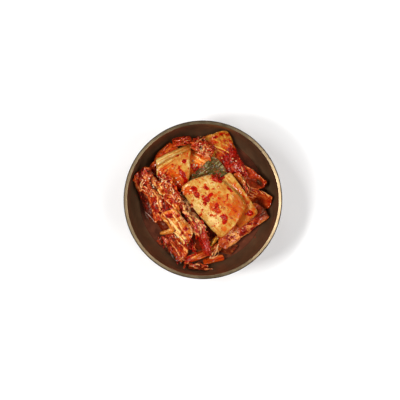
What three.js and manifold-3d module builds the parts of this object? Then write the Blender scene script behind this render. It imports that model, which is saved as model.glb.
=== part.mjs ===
// Kimchi in a brass side-dish bowl: cut napa cabbage, shreds and brine heaped in a round bowl.
// Millimetres, +Z up. The origin is the middle of the foot, on the table.
import * as THREE from 'three';
import { mergeVertices } from 'three/addons/utils/BufferGeometryUtils.js';
import Module from 'manifold-3d';

const wasm = await Module();
wasm.setup();

// ---------------------------------------------------------------- driving dimensions

const RIM_RADIUS = 63; // outside of the lip
const BOWL_HEIGHT = 44;
const LIP_WIDTH = 3; // round bead along the rim
const WALL = 1.8;
const FLOOR_TOP = 4; // height of the bowl's floor inside
const FLOOR_UNDERSIDE = 2;
const FOOT_RADIUS = 30;
const FOOT_WIDTH = 3;
const BOWL_SQUARENESS = 3.2; // exponent of the superellipse: 2 is an ellipse, more is a flatter floor
const BOWL_SIDES = 48;
const WALL_STEPS = 9;

const BRINE_LEVEL = 14.5;
const GAP = 0.4; // between neighbours that touch
const HEAP_REACH = 59; // no piece reaches further out than this
const EDGE_BEVEL = 0.25; // how far a sheet's upper face is drawn in, in thicknesses
const CLUMP_HEIGHT = 0.8; // how far a clump of chilli flakes stands up

const STRIP_STIFFNESS = 8; // smoothing passes over what a shred lies on

const CORE_RADIUS = 44;
const CORE_APEX = 20.5;
const CORE_EDGE = 16.6;
const CORE_RINGS = 4;

const INNER_RADIUS = RIM_RADIUS - LIP_WIDTH;
const DEPTH = BOWL_HEIGHT - FLOOR_TOP;
const POLYGON_INSET = Math.cos(Math.PI / BOWL_SIDES); // how far a side's middle lies inside the circle

const BRASS = { color: 0x8a7448, roughness: 0.32, metalness: 1 };
const BRINE = { color: 0x4a1c0c, roughness: 0.08, metalness: 0 };
const PALE_STEM = { color: 0xe0b878, roughness: 0.3, metalness: 0 };
const ORANGE_LEAF = { color: 0xc8742c, roughness: 0.35, metalness: 0 };
const RED_LEAF = { color: 0xb04424, roughness: 0.35, metalness: 0 };
const DARK_LEAF = { color: 0x7a2c1c, roughness: 0.35, metalness: 0 };
const GREEN_LEAF = { color: 0x5c6434, roughness: 0.35, metalness: 0 };
const RED_SHRED = { color: 0xc03c1c, roughness: 0.3, metalness: 0 };

// ---------------------------------------------------------------- small tools

const radians = THREE.MathUtils.degToRad;

// A repeatable random number from 0 to 1 (mulberry32).
function seeded(seed) {
  let state = seed >>> 0;
  return () => {
    state = (state + 0x6d2b79f5) >>> 0;
    let t = Math.imul(state ^ (state >>> 15), 1 | state);
    t = (t + Math.imul(t ^ (t >>> 7), 61 | t)) ^ t;
    return ((t ^ (t >>> 14)) >>> 0) / 4294967296;
  };
}

// Uneven folds of roughly one size, from 0 to 1.
function crumple(x, y, size, phase) {
  const a = (2 * Math.PI) / size;
  const first = Math.sin(a * (0.92 * x + 0.31 * y) + phase);
  const second = Math.sin(a * (0.45 * y - 0.83 * x) * 0.7 + 2.1 * phase);
  const third = Math.sin(a * (0.97 * y + 0.2 * x) * 0.83 + 3.7 * phase);
  return 0.5 + (first + second + third) / 6;
}

// Rises from 0 to 1 as x goes from low to high.
function ease(x, low, high) {
  return THREE.MathUtils.smoothstep(x, low, high);
}

function geometryFrom(positions, triangles) {
  const geometry = new THREE.BufferGeometry();
  geometry.setAttribute('position', new THREE.Float32BufferAttribute(positions, 3));
  geometry.setIndex(triangles);
  geometry.computeVertexNormals();
  return geometry;
}

function solidFrom(geometry) {
  const bare = new THREE.BufferGeometry();
  bare.setAttribute('position', geometry.getAttribute('position'));
  bare.setIndex(geometry.index);
  const merged = mergeVertices(bare, 1e-4);
  return new wasm.Manifold(
    new wasm.Mesh({
      numProp: 3,
      vertProperties: merged.attributes.position.array,
      triVerts: new Uint32Array(merged.index.array),
    }),
  );
}

function geometryOfSolid(solid) {
  const mesh = solid.getMesh();
  return geometryFrom(Array.from(mesh.vertProperties), Array.from(mesh.triVerts));
}

// ---------------------------------------------------------------- the bowl

// A point of the bowl's curve, from the rim (share 0) to the middle of the floor (share 1).
function bowlCurve(radius, depth, share) {
  const t = (share * Math.PI) / 2;
  const power = 2 / BOWL_SQUARENESS;
  return new THREE.Vector2(
    radius * Math.max(0, Math.cos(t)) ** power,
    BOWL_HEIGHT - depth * Math.sin(t) ** power,
  );
}

const innerCurve = [];
for (let k = 1; k < WALL_STEPS; k++) innerCurve.push(bowlCurve(INNER_RADIUS, DEPTH, k / WALL_STEPS));
innerCurve.push(new THREE.Vector2(0, FLOOR_TOP));

// The lip's section: half a circle from the outside, over the top, to the inside.
function lipCurve(steps) {
  const r = LIP_WIDTH / 2;
  const points = [];
  for (let k = 0; k <= steps; k++) {
    const t = (k / steps) * Math.PI;
    points.push(new THREE.Vector2(RIM_RADIUS - r + r * Math.cos(t), BOWL_HEIGHT - r + r * Math.sin(t)));
  }
  return points;
}

function bowlGeometry() {
  const outerDepth = BOWL_HEIGHT - FLOOR_UNDERSIDE;
  const outer = [];
  for (let k = 1; k < WALL_STEPS; k++) {
    const point = bowlCurve(INNER_RADIUS + WALL, outerDepth, k / WALL_STEPS);
    if (point.x > FOOT_RADIUS + 2) outer.unshift(point);
  }
  const underLip = new THREE.Vector2(INNER_RADIUS + WALL, BOWL_HEIGHT - 1.6 * LIP_WIDTH);
  const footTop = FLOOR_UNDERSIDE + 1.3;
  const profile = [
    new THREE.Vector2(0, FLOOR_UNDERSIDE),
    new THREE.Vector2(FOOT_RADIUS - FOOT_WIDTH, FLOOR_UNDERSIDE),
    new THREE.Vector2(FOOT_RADIUS - FOOT_WIDTH, 0),
    new THREE.Vector2(FOOT_RADIUS, 0),
    new THREE.Vector2(FOOT_RADIUS, footTop),
    ...outer,
    underLip,
    ...lipCurve(4),
    ...innerCurve,
  ];
  return new THREE.LatheGeometry(profile, BOWL_SIDES);
}

// The height of the bowl's inner surface at a distance from the axis, on its flat sides.
function wallHeight(radius) {
  const r = radius / POLYGON_INSET;
  const curve = [new THREE.Vector2(INNER_RADIUS, BOWL_HEIGHT - LIP_WIDTH / 2), ...innerCurve];
  for (let k = 1; k < curve.length; k++) {
    if (r >= curve[k].x) {
      const share = (r - curve[k].x) / (curve[k - 1].x - curve[k].x);
      return THREE.MathUtils.lerp(curve[k].y, curve[k - 1].y, share);
    }
  }
  return FLOOR_TOP;
}

// ---------------------------------------------------------------- the heap's upper surface

// The highest point of everything laid so far, on a square grid over the bowl.
class HeapSurface {
  static CELL = 0.8;
  static HALF = 80; // cells from the middle to each side

  constructor() {
    this.count = 2 * HeapSurface.HALF + 1;
    this.heights = new Float64Array(this.count * this.count).fill(-Infinity);
  }

  cellOf(value) {
    return value / HeapSurface.CELL + HeapSurface.HALF;
  }

  // The highest surface within reach of a point, or -Infinity where nothing lies.
  highest(x, y, reach) {
    const first = (v) => Math.max(0, Math.floor(this.cellOf(v - reach)));
    const last = (v) => Math.min(this.count - 1, Math.ceil(this.cellOf(v + reach)));
    let top = -Infinity;
    for (let i = first(x); i <= last(x); i++)
      for (let j = first(y); j <= last(y); j++) top = Math.max(top, this.heights[i * this.count + j]);
    return top;
  }

  // Raises the surface to a solid's triangles wherever they are higher.
  cover(geometry) {
    const position = geometry.getAttribute('position');
    const corners = [new THREE.Vector3(), new THREE.Vector3(), new THREE.Vector3()];
    for (let t = 0; t < geometry.index.count; t += 3) {
      corners.forEach((corner, k) => corner.fromBufferAttribute(position, geometry.index.getX(t + k)));
      this.coverTriangle(...corners);
    }
  }

  coverTriangle(a, b, c) {
    const [ax, ay, bx, by, cx, cy] = [a.x, a.y, b.x, b.y, c.x, c.y].map((v) => this.cellOf(v));
    const area = (bx - ax) * (cy - ay) - (cx - ax) * (by - ay);
    const low = (p, q, r) => Math.max(0, Math.floor(Math.min(p, q, r)));
    const high = (p, q, r) => Math.min(this.count - 1, Math.ceil(Math.max(p, q, r)));
    const top = Math.max(a.z, b.z, c.z);
    for (let i = low(ax, bx, cx); i <= high(ax, bx, cx); i++)
      for (let j = low(ay, by, cy); j <= high(ay, by, cy); j++) {
        const wb = ((i - ax) * (cy - ay) - (cx - ax) * (j - ay)) / area;
        const wc = ((bx - ax) * (j - ay) - (i - ax) * (by - ay)) / area;
        const wa = 1 - wb - wc;
        if (Math.min(wa, wb, wc) < -0.5 || !Number.isFinite(wa)) continue;
        const z = Math.min(top, wa * a.z + wb * b.z + wc * c.z);
        const cell = i * this.count + j;
        this.heights[cell] = Math.max(this.heights[cell], z);
      }
  }
}

const heap = new HeapSurface();

// The lowest that a piece may lie over a point, on the bowl, the brine and what is laid already.
function restingHeight(x, y, reach) {
  return Math.max(wallHeight(Math.hypot(x, y)), BRINE_LEVEL, heap.highest(x, y, reach)) + GAP;
}

// ---------------------------------------------------------------- brine and core

// The uneven outline of the heap's core: wider towards the upper left.
function coreRadius(angle) {
  return CORE_RADIUS + 2.2 * Math.cos(angle - radians(115)) + 0.8 * Math.sin(3 * angle + 0.6);
}

function coreHeight(share, angle) {
  const edge = CORE_EDGE + 2 * Math.cos(angle - radians(115));
  const x = share * CORE_RADIUS * Math.cos(angle);
  const y = share * CORE_RADIUS * Math.sin(angle);
  const lumps = 1.6 * crumple(x, y, 17, 1.3) - 0.8;
  return edge + (CORE_APEX - edge) * (1 - share ** 2.4) + lumps * (1 - share ** 6);
}

// A ring whose section, a closed list of (radius, height), may change with the angle.
function ringGeometry(sectionAt) {
  const positions = [];
  const triangles = [];
  const count = sectionAt(0).length;
  for (let s = 0; s < BOWL_SIDES; s++) {
    const angle = (s / BOWL_SIDES) * 2 * Math.PI;
    for (const [r, z] of sectionAt(angle)) positions.push(r * Math.cos(angle), r * Math.sin(angle), z);
    for (let k = 0; k < count; k++) {
      const a = s * count + k;
      const b = s * count + ((k + 1) % count);
      const c = ((s + 1) % BOWL_SIDES) * count + k;
      const d = ((s + 1) % BOWL_SIDES) * count + ((k + 1) % count);
      triangles.push(a, c, b, b, c, d);
    }
  }
  return geometryFrom(positions, triangles);
}

// The brine fills the bowl up to its level, round the core.
function brineGeometry() {
  let outer = CORE_RADIUS;
  while (wallHeight(outer) + GAP < BRINE_LEVEL) outer += 0.05;
  return ringGeometry((angle) => {
    const inner = coreRadius(angle) + GAP;
    const middle = (inner + outer) / 2;
    return [
      [inner, wallHeight(inner) + GAP],
      [middle, wallHeight(middle) + GAP],
      [outer, BRINE_LEVEL],
      [inner, BRINE_LEVEL],
    ];
  });
}

// The packed middle of the heap, standing on the bowl's floor.
function coreGeometry() {
  const positions = [];
  const triangles = [];
  const faces = [
    { height: (share, angle) => wallHeight(share * coreRadius(angle)) + GAP, up: false },
    { height: coreHeight, up: true },
  ];
  const ringStart = (face, ring) => face * (1 + CORE_RINGS * BOWL_SIDES) + 1 + (ring - 1) * BOWL_SIDES;
  const push = (up, a, b, c) => triangles.push(...(up ? [a, b, c] : [a, c, b]));
  faces.forEach(({ height, up }, face) => {
    positions.push(0, 0, height(0, 0));
    for (let ring = 1; ring <= CORE_RINGS; ring++)
      for (let s = 0; s < BOWL_SIDES; s++) {
        const angle = (s / BOWL_SIDES) * 2 * Math.PI;
        const share = ring / CORE_RINGS;
        const r = share * coreRadius(angle);
        positions.push(r * Math.cos(angle), r * Math.sin(angle), height(share, angle));
      }
    for (let s = 0; s < BOWL_SIDES; s++) {
      const next = (s + 1) % BOWL_SIDES;
      push(up, ringStart(face, 1) - 1, ringStart(face, 1) + s, ringStart(face, 1) + next);
      for (let ring = 1; ring < CORE_RINGS; ring++) {
        const [inner, outer] = [ringStart(face, ring), ringStart(face, ring + 1)];
        push(up, inner + s, outer + s, inner + next);
        push(up, inner + next, outer + s, outer + next);
      }
    }
  });
  const [low, high] = [ringStart(0, CORE_RINGS), ringStart(1, CORE_RINGS)];
  for (let s = 0; s < BOWL_SIDES; s++) {
    const next = (s + 1) % BOWL_SIDES;
    triangles.push(low + s, low + next, high + s, high + s, low + next, high + next);
  }
  return geometryFrom(positions, triangles);
}

// ---------------------------------------------------------------- sheets and strips

// Lets a grid of points down onto its floor: it bridges hollows, the further the stiffer it is.
function drape(floor, nu, nv, passes) {
  let z = floor.slice();
  for (let pass = 0; pass < passes; pass++) {
    const next = z.slice();
    for (let i = 0; i <= nu; i++)
      for (let j = 0; j <= nv; j++) {
        const k = i * (nv + 1) + j;
        let bend = 0;
        if (i > 0 && i < nu) bend += z[k - nv - 1] + z[k + nv + 1] - 2 * z[k];
        if (j > 0 && j < nv) bend += z[k - 1] + z[k + 1] - 2 * z[k];
        next[k] = Math.max(floor[k], z[k] + 0.24 * bend);
      }
    z = next;
  }
  return z;
}

// Where a point of a sheet lies in plan. u runs from its start to its end, v from right to left.
// Its corners are listed as start right, start left, end left, end right.
function sheetPlan(sheet, u, v) {
  const { rounding = 0.2, bulge = 0, ragged = 0, phase = 0 } = sheet;
  const s = u * Math.sqrt(1 - (rounding * v * v) / 2);
  const t = v * Math.sqrt(1 - (rounding * u * u) / 2);
  const [a, b, c, d] = sheet.corners.map(([x, y]) => new THREE.Vector2(x, y));
  const start = a.lerp(b, (1 + t) / 2);
  const end = d.lerp(c, (1 + t) / 2);
  const point = start.lerp(end, (1 + s) / 2);
  const place = middleOf(sheet);
  const edge = Math.max(Math.abs(u), Math.abs(v)) ** 3;
  const notch = edge * Math.sin(5 * Math.atan2(v, u) + 0.9 * (point.x - point.y) + phase);
  point.sub(place).multiplyScalar(1 + ragged * notch);
  const side = new THREE.Vector2(0, bulge * (0.5 - u * u));
  point.add(side.rotateAround(new THREE.Vector2(), headingOf(sheet))).add(place);
  if (point.length() > HEAP_REACH) point.setLength(HEAP_REACH);
  return point;
}

function middleOf({ corners }) {
  const sum = corners.reduce((total, [x, y]) => total.add(new THREE.Vector2(x, y)), new THREE.Vector2());
  return sum.divideScalar(corners.length);
}

// The direction from the middle of a sheet's start to the middle of its end.
function headingOf({ corners: [a, b, c, d] }) {
  return Math.atan2(c[1] + d[1] - a[1] - b[1], c[0] + d[0] - a[0] - b[0]);
}

function lengthOf({ corners: [a, b, c, d] }) {
  return 0.5 * Math.hypot(c[0] + d[0] - a[0] - b[0], c[1] + d[1] - a[1] - b[1]);
}

function widthOf({ corners: [a, b, c, d] }) {
  return 0.5 * Math.hypot(b[0] + c[0] - a[0] - d[0], b[1] + c[1] - a[1] - d[1]);
}

function placeOf(sheet) {
  const middle = middleOf(sheet);
  return new THREE.Matrix4().makeRotationZ(headingOf(sheet)).setPosition(middle.x, middle.y, 0);
}

// How far a sheet stands up from what it lies on: its crown, turned-up edges, ruffles and folds.
function sheetRelief(sheet, u, v, x, y) {
  const { crown = 0, ruffle = 0, ruffles = 3, folds = 0, foldSize = 9, phase = 0 } = sheet;
  const { liftLeft = 0, liftStart = 0, liftEnd = 0 } = sheet;
  return (
    crown * (1 - v * v) +
    liftLeft * ease(v, 0.1, 1) +
    liftEnd * ease(u, 0.2, 1) +
    liftStart * ease(-u, 0.2, 1) +
    ruffle * v * v * (0.5 + 0.5 * Math.sin(ruffles * Math.PI * u + phase + (v > 0 ? 0 : 1.7))) +
    folds * crumple(x, y, foldSize, phase)
  );
}

// A leaf or a slice of stem: a closed sheet, both faces split alike, in its own frame.
function sheetGeometry(sheet, raise) {
  const { nu, nv, thickness, thinEdge = 0.4, stiffness = 6 } = sheet;
  const [length, width, middle] = [lengthOf(sheet), widthOf(sheet), middleOf(sheet)];
  const reach = 0.5 * Math.max(length / nu, width / nv);
  const plan = [];
  const floor = [];
  for (let i = 0; i <= nu; i++)
    for (let j = 0; j <= nv; j++) {
      const point = sheetPlan(sheet, (2 * i) / nu - 1, (2 * j) / nv - 1);
      plan.push(point);
      floor.push(restingHeight(point.x, point.y, reach));
    }
  const bottom = drape(floor, nu, nv, stiffness);
  const inverse = placeOf(sheet).invert();
  const faces = [[], []];
  plan.forEach((point, k) => {
    const u = (2 * Math.floor(k / (nv + 1))) / nu - 1;
    const v = (2 * (k % (nv + 1))) / nv - 1;
    const edge = Math.max(u ** 4, v ** 4);
    const z = bottom[k] + sheetRelief(sheet, u, v, point.x, point.y) + raise;
    const top = z + thickness * (1 - thinEdge * edge);
    const inset = point.clone().lerp(middle, (edge * EDGE_BEVEL * thickness) / Math.max(8, width));
    faces[0].push(new THREE.Vector3(point.x, point.y, z).applyMatrix4(inverse));
    faces[1].push(new THREE.Vector3(inset.x, inset.y, top).applyMatrix4(inverse));
  });
  const count = plan.length;
  const triangles = [];
  for (let i = 0; i < nu; i++)
    for (let j = 0; j < nv; j++) {
      const a = i * (nv + 1) + j;
      const [b, c, d] = [a + 1, a + nv + 1, a + nv + 2];
      triangles.push(a, b, c, b, d, c);
      triangles.push(count + a, count + c, count + b, count + b, count + c, count + d);
    }
  const border = [];
  for (let i = 0; i < nu; i++) border.push(i * (nv + 1));
  for (let j = 0; j < nv; j++) border.push(nu * (nv + 1) + j);
  for (let i = nu; i > 0; i--) border.push(i * (nv + 1) + nv);
  for (let j = nv; j > 0; j--) border.push(j);
  border.forEach((a, k) => {
    const b = border[(k + 1) % border.length];
    triangles.push(a, b, count + a, b, count + b, count + a);
  });
  return geometryFrom([...faces[0], ...faces[1]].flatMap((p) => p.toArray()), triangles);
}

// A shred: a strip of four sides from start to end, laid over the heap along a gentle bend.
function stripGeometry(strip, heightAt) {
  const { start, end, width, height, bend, steps = 5 } = strip;
  const sideways = end.clone().sub(start).normalize().rotateAround(new THREE.Vector2(), Math.PI / 2);
  const points = [];
  for (let k = 0; k <= steps; k++) {
    const share = k / steps;
    const point = start.clone().lerp(end, share).addScaledVector(sideways, 4 * bend * share * (1 - share));
    if (point.length() > HEAP_REACH - width) point.setLength(HEAP_REACH - width);
    points.push(point);
  }
  const heights = drape(points.map((p) => heightAt(p.x, p.y)), steps, 0, STRIP_STIFFNESS);
  const positions = [];
  const triangles = [];
  points.forEach((point, k) => {
    const before = points[Math.max(0, k - 1)];
    const after = points[Math.min(steps, k + 1)];
    const across = after.clone().sub(before).normalize();
    across.set(-across.y, across.x).multiplyScalar(0.5 * width * (k === 0 || k === steps ? 0.7 : 1));
    const [low, high] = [heights[k], heights[k] + height];
    for (const [side, z] of [[-1, low], [1, low], [1, high], [-1, high]])
      positions.push(point.x + side * across.x, point.y + side * across.y, z);
    if (k === 0) return;
    const [a, b] = [4 * (k - 1), 4 * k];
    for (let c = 0; c < 4; c++) {
      const d = (c + 1) % 4;
      triangles.push(a + c, a + d, b + c, a + d, b + d, b + c);
    }
  });
  const last = 4 * steps;
  triangles.push(0, 2, 1, 0, 3, 2, last, last + 1, last + 2, last, last + 2, last + 3);
  return geometryFrom(positions, triangles);
}

// ---------------------------------------------------------------- laying the pieces down

const kimchi = new THREE.Group();
const laid = []; // the solids so far, in the part's frame

function addMesh(name, geometry, finish, matrix) {
  const mesh = new THREE.Mesh(geometry, new THREE.MeshStandardMaterial(finish));
  mesh.name = name;
  if (matrix) matrix.decompose(mesh.position, mesh.quaternion, mesh.scale);
  kimchi.add(mesh);
  return mesh;
}

function clears(solid) {
  return laid.every((other) => solid.intersect(other).volume() < 1e-5);
}

// Clumps of chilli flakes, fused to a piece's upper face: low lenses of the given length and width.
function fuseClumps(solid, clumps) {
  const face = new HeapSurface();
  face.cover(geometryOfSolid(solid));
  return clumps.reduce((whole, { x, y, length, width, heading }) => {
    const lens = new THREE.SphereGeometry(0.5, 7, 4);
    lens.rotateX(Math.PI / 2);
    lens.scale(length, width, 2 * CLUMP_HEIGHT);
    lens.rotateZ(radians(heading));
    lens.translate(x, y, face.highest(x, y, 0.4));
    return whole.add(solidFrom(lens));
  }, solid);
}

// Lays a sheet as low as it lies clear of everything under it.
function laySheet(name, finish, sheet, clumps = []) {
  const matrix = placeOf(sheet);
  for (let raise = 0; ; raise += 0.2) {
    const bare = solidFrom(sheetGeometry(sheet, raise).applyMatrix4(matrix));
    if (!clears(bare)) continue;
    const solid = fuseClumps(bare, clumps);
    laid.push(solid);
    heap.cover(geometryOfSolid(solid));
    addMesh(name, geometryOfSolid(solid).applyMatrix4(matrix.clone().invert()), finish, matrix);
    return;
  }
}

// Lays one shred by itself.
function layStrip(name, finish, strip) {
  for (let raise = 0; ; raise += 0.2) {
    const heightAt = (x, y) => restingHeight(x, y, 0.7 * strip.width) + raise;
    const geometry = stripGeometry(strip, heightAt);
    const solid = solidFrom(geometry);
    if (!clears(solid)) continue;
    laid.push(solid);
    heap.cover(geometry);
    addMesh(name, geometry, finish);
    return;
  }
}

// Fuses shreds onto a bed. Each sinks a little into the bed and rests on whatever else it crosses.
function fuseShreds(bed, strips, sink) {
  const bedOnly = new HeapSurface();
  bedOnly.cover(geometryOfSolid(bed));
  let fused = bed;
  for (const strip of strips) {
    const reach = 0.7 * strip.width;
    const heightAt = (x, y) => Math.max(restingHeight(x, y, reach), bedOnly.highest(x, y, 0.2) - sink);
    const solid = solidFrom(stripGeometry(strip, heightAt));
    if (clears(solid)) fused = fused.add(solid);
  }
  const bodies = fused.decompose().sort((a, b) => b.volume() - a.volume());
  return bodies[0];
}

// A shred of the given length through a point.
function shredThrough(middle, heading, length) {
  const half = new THREE.Vector2(length / 2, 0).rotateAround(new THREE.Vector2(), heading);
  return { start: middle.clone().sub(half), end: middle.clone().add(half) };
}

// Lays a tangle of shreds: a thin bed with strips fused across it, mostly along its length.
function layTangle(name, finish, bed, shreds) {
  const random = seeded(shreds.seed);
  const matrix = placeOf(bed);
  let solid;
  for (let raise = 0; ; raise += 0.2) {
    solid = solidFrom(sheetGeometry(bed, raise).applyMatrix4(matrix));
    if (clears(solid)) break;
  }
  const strips = [];
  for (let k = 0; k < shreds.count; k++) {
    const u = (0.72 * (2 * k + 1 - shreds.count)) / shreds.count;
    const v = 0.68 * (2 * random() - 1);
    const heading = headingOf(bed) + radians(shreds.spread) * (2 * random() - 1);
    const length = shreds.length * (0.8 + 0.4 * random());
    const line = shredThrough(sheetPlan(bed, u, v), heading, length);
    strips.push({ ...line, width: shreds.width, height: shreds.height, bend: 2.4 * random() - 1.2 });
  }
  const fused = fuseShreds(solid, strips, 0.9);
  laid.push(fused);
  const geometry = geometryOfSolid(fused);
  heap.cover(geometry);
  addMesh(name, geometry, finish);
}

// ---------------------------------------------------------------- bowl, brine and core

const bowl = addMesh('bowl', bowlGeometry(), BRASS);
bowl.rotation.x = Math.PI / 2;
bowl.updateMatrix();
laid.push(solidFrom(bowl.geometry.clone().applyMatrix4(bowl.matrix)));

const brine = brineGeometry();
addMesh('brine', brine, BRINE);
laid.push(solidFrom(brine));

const CORE_SHREDS = 9;
const coreShreds = [];
const coreRandom = seeded(11);
for (let k = 0; k < CORE_SHREDS; k++) {
  const angle = k * radians(137.5);
  const radius = 12 + 27 * Math.sqrt((k + 0.5) / CORE_SHREDS);
  const middle = new THREE.Vector2(radius * Math.cos(angle), radius * Math.sin(angle));
  const heading = angle + radians(90 + 50 * (coreRandom() - 0.5));
  const line = shredThrough(middle, heading, 16 + 6 * coreRandom());
  coreShreds.push({ ...line, width: 3, height: 2.2, bend: 3 * coreRandom() - 1.5, steps: 4 });
}
const core = fuseShreds(solidFrom(coreGeometry()), coreShreds, 1.2);
laid.push(core);
heap.cover(geometryOfSolid(core));
addMesh('kimchi_core', geometryOfSolid(core), RED_LEAF);

// ---------------------------------------------------------------- lower leaves, against the wall

laySheet('leaf_wall_left', DARK_LEAF, {
  corners: [[-55, 9], [-46, 14], [-35, -13], [-43, -19]],
  thickness: 1.4, nu: 8, nv: 3, ragged: 0.05, folds: 1.2, phase: 0.4,
});
laySheet('leaf_low_edge', DARK_LEAF, {
  corners: [[-12.5, -56.5], [-12.5, -52], [5.5, -53], [5, -58]],
  thickness: 1.4, nu: 7, nv: 3, ruffle: 0.8, phase: 2,
});
laySheet('leaf_pale_low', DARK_LEAF, {
  corners: [[8, -41], [10, -30], [30, -37], [23, -46]],
  thickness: 1.2, nu: 7, nv: 4, ragged: 0.06, folds: 1, phase: 1.1,
});
laySheet('leaf_far_left', RED_LEAF, {
  corners: [[-36, 25], [-42.5, 33], [-27, 50], [-17, 40]],
  thickness: 1.6, nu: 8, nv: 5, rounding: 0.6, crown: 1.4, phase: 0.3,
});
laySheet('leaf_scrap_left', DARK_LEAF, {
  corners: [[-48, 24], [-39, 32], [-32, 20], [-42, 14]],
  thickness: 1.4, nu: 5, nv: 4, ragged: 0.08, folds: 1.6, foldSize: 6, phase: 2.2,
});
laySheet('leaf_low_left', RED_LEAF, {
  corners: [[-36, -31], [-23, -24], [-10, -45], [-19, -54]],
  thickness: 1.6, nu: 10, nv: 5, ragged: 0.06, folds: 2, foldSize: 7, ruffle: 1, phase: 1.6,
});
laySheet('stem_low_short', ORANGE_LEAF, {
  corners: [[0, -53.5], [-1, -48], [17, -44], [19, -49.5]],
  thickness: 2.2, nu: 7, nv: 3, crown: 0.8,
});
laySheet('leaf_curl_lower', RED_LEAF, {
  corners: [[34, -4], [36, 12.5], [59, 3], [54, -9]],
  thickness: 1.6, nu: 10, nv: 7, rounding: 0.5, liftLeft: 5, folds: 1, phase: 0.8, ragged: 0.04,
});
laySheet('leaf_curl_upper', RED_LEAF, {
  corners: [[28, 17], [32, 31], [54, 14], [43, 5]],
  thickness: 1.6, nu: 10, nv: 6, rounding: 0.5, liftLeft: 5, liftEnd: 1.5, folds: 1.2, phase: 2.9,
  ragged: 0.05,
});
laySheet('leaf_top', ORANGE_LEAF, {
  corners: [[-2, 51], [20, 57.5], [38.5, 18], [13, 18]],
  thickness: 1.8, nu: 13, nv: 6, rounding: 0.08, folds: 1, foldSize: 14, liftStart: 1.5, phase: 0.9,
});

// ---------------------------------------------------------------- middle layer

laySheet('leaf_middle', ORANGE_LEAF, {
  corners: [[-14, 14], [-13, 42], [10, 37], [4, 17]],
  thickness: 1.6, nu: 7, nv: 8, rounding: 0.25, crown: 1, folds: 1, phase: 2.4,
});
laySheet('leaf_green', GREEN_LEAF, {
  corners: [[-12, 8], [-16, 14.5], [9.5, 38], [24, 19]],
  thickness: 1.2, nu: 11, nv: 5, rounding: 0.45, bulge: -1.5, folds: 1.2, foldSize: 10, phase: 1.9,
});
laySheet('stem_low_long', ORANGE_LEAF, {
  corners: [[-16, -53.5], [-15.5, -47], [14, -33.5], [17.5, -41]],
  thickness: 2.8, nu: 11, nv: 3, crown: 1, bulge: -0.8,
});
laySheet('leaf_under_front', RED_LEAF, {
  corners: [[16, -43.5], [9, -29], [43, 0], [57, -13]],
  thickness: 1.8, nu: 12, nv: 6, rounding: 0.35, ragged: 0.04, folds: 1.6, foldSize: 10, ruffle: 0.8,
  stiffness: 8, phase: 0.2,
});
laySheet('stem_sliver', ORANGE_LEAF, {
  corners: [[23, 21], [29.5, 24], [38.5, 3], [33, -1]],
  thickness: 1.5, nu: 7, nv: 3, liftLeft: 1.2, ruffle: 0.6, phase: 1,
});
laySheet('stem_back_under', PALE_STEM, {
  corners: [[-37, 22], [-39, 33], [-8.6, 47.5], [-9, 35]],
  thickness: 3.2, nu: 9, nv: 4, rounding: 0.08, stiffness: 30, crown: 0.6, thinEdge: 0.15,
});
laySheet('stem_back', PALE_STEM, {
  corners: [[-36, 5], [-38.5, 28], [-8.6, 42.5], [-11, 10]],
  thickness: 3.6, nu: 10, nv: 9, rounding: 0.1, crown: 2, stiffness: 24, folds: 0.6, foldSize: 20,
  phase: 0.5,
}, [
  { x: -16.5, y: 20.5, length: 8, width: 3, heading: -55 },
  { x: -15, y: 30.5, length: 3.4, width: 2.8, heading: 0 },
]);
laySheet('leaf_tip_back', RED_LEAF, {
  corners: [[-25, 41], [-25, 50], [-10, 53], [-9, 44.5]],
  thickness: 1.4, nu: 7, nv: 4, ragged: 0.08, folds: 2, foldSize: 6, phase: 3.1,
});
layTangle('shreds_top', RED_SHRED, {
  corners: [[-9.5, 41], [-8.5, 51], [12, 41], [5, 32]],
  thickness: 1.3, nu: 6, nv: 3, folds: 0.8,
}, { seed: 5, count: 6, spread: 40, length: 12, width: 2.4, height: 2 });
laySheet('leaf_frilled', RED_LEAF, {
  corners: [[-57, 20], [-45, 30.5], [-25, -8], [-38, -21]],
  thickness: 1.6, nu: 17, nv: 6, ragged: 0.04, crown: 2.4, bulge: 1, folds: 1.8, foldSize: 6.5,
  ruffle: 1.2, ruffles: 6, phase: 0.7,
});
layTangle('shreds_middle', RED_SHRED, {
  corners: [[-38.5, 16], [-26, 21.5], [-12, -7], [-24.5, -14]],
  thickness: 1.3, nu: 8, nv: 4, folds: 0.8,
}, { seed: 23, count: 8, spread: 35, length: 13, width: 2.4, height: 2 });
laySheet('leaf_ribbed', ORANGE_LEAF, {
  corners: [[-36, -12], [-22, -6], [-6, -26], [-14, -40]],
  thickness: 2, nu: 12, nv: 8, rounding: 0.3, crown: 3, folds: 1, foldSize: 8, ruffle: 1, ruffles: 4,
  phase: 1.4,
});
laySheet('stem_finger', ORANGE_LEAF, {
  corners: [[-36, -29.5], [-36, -26], [-23, -21.5], [-22, -27]],
  thickness: 2.4, nu: 6, nv: 3, rounding: 0.6, crown: 0.8,
});

// ---------------------------------------------------------------- top layer

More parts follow.
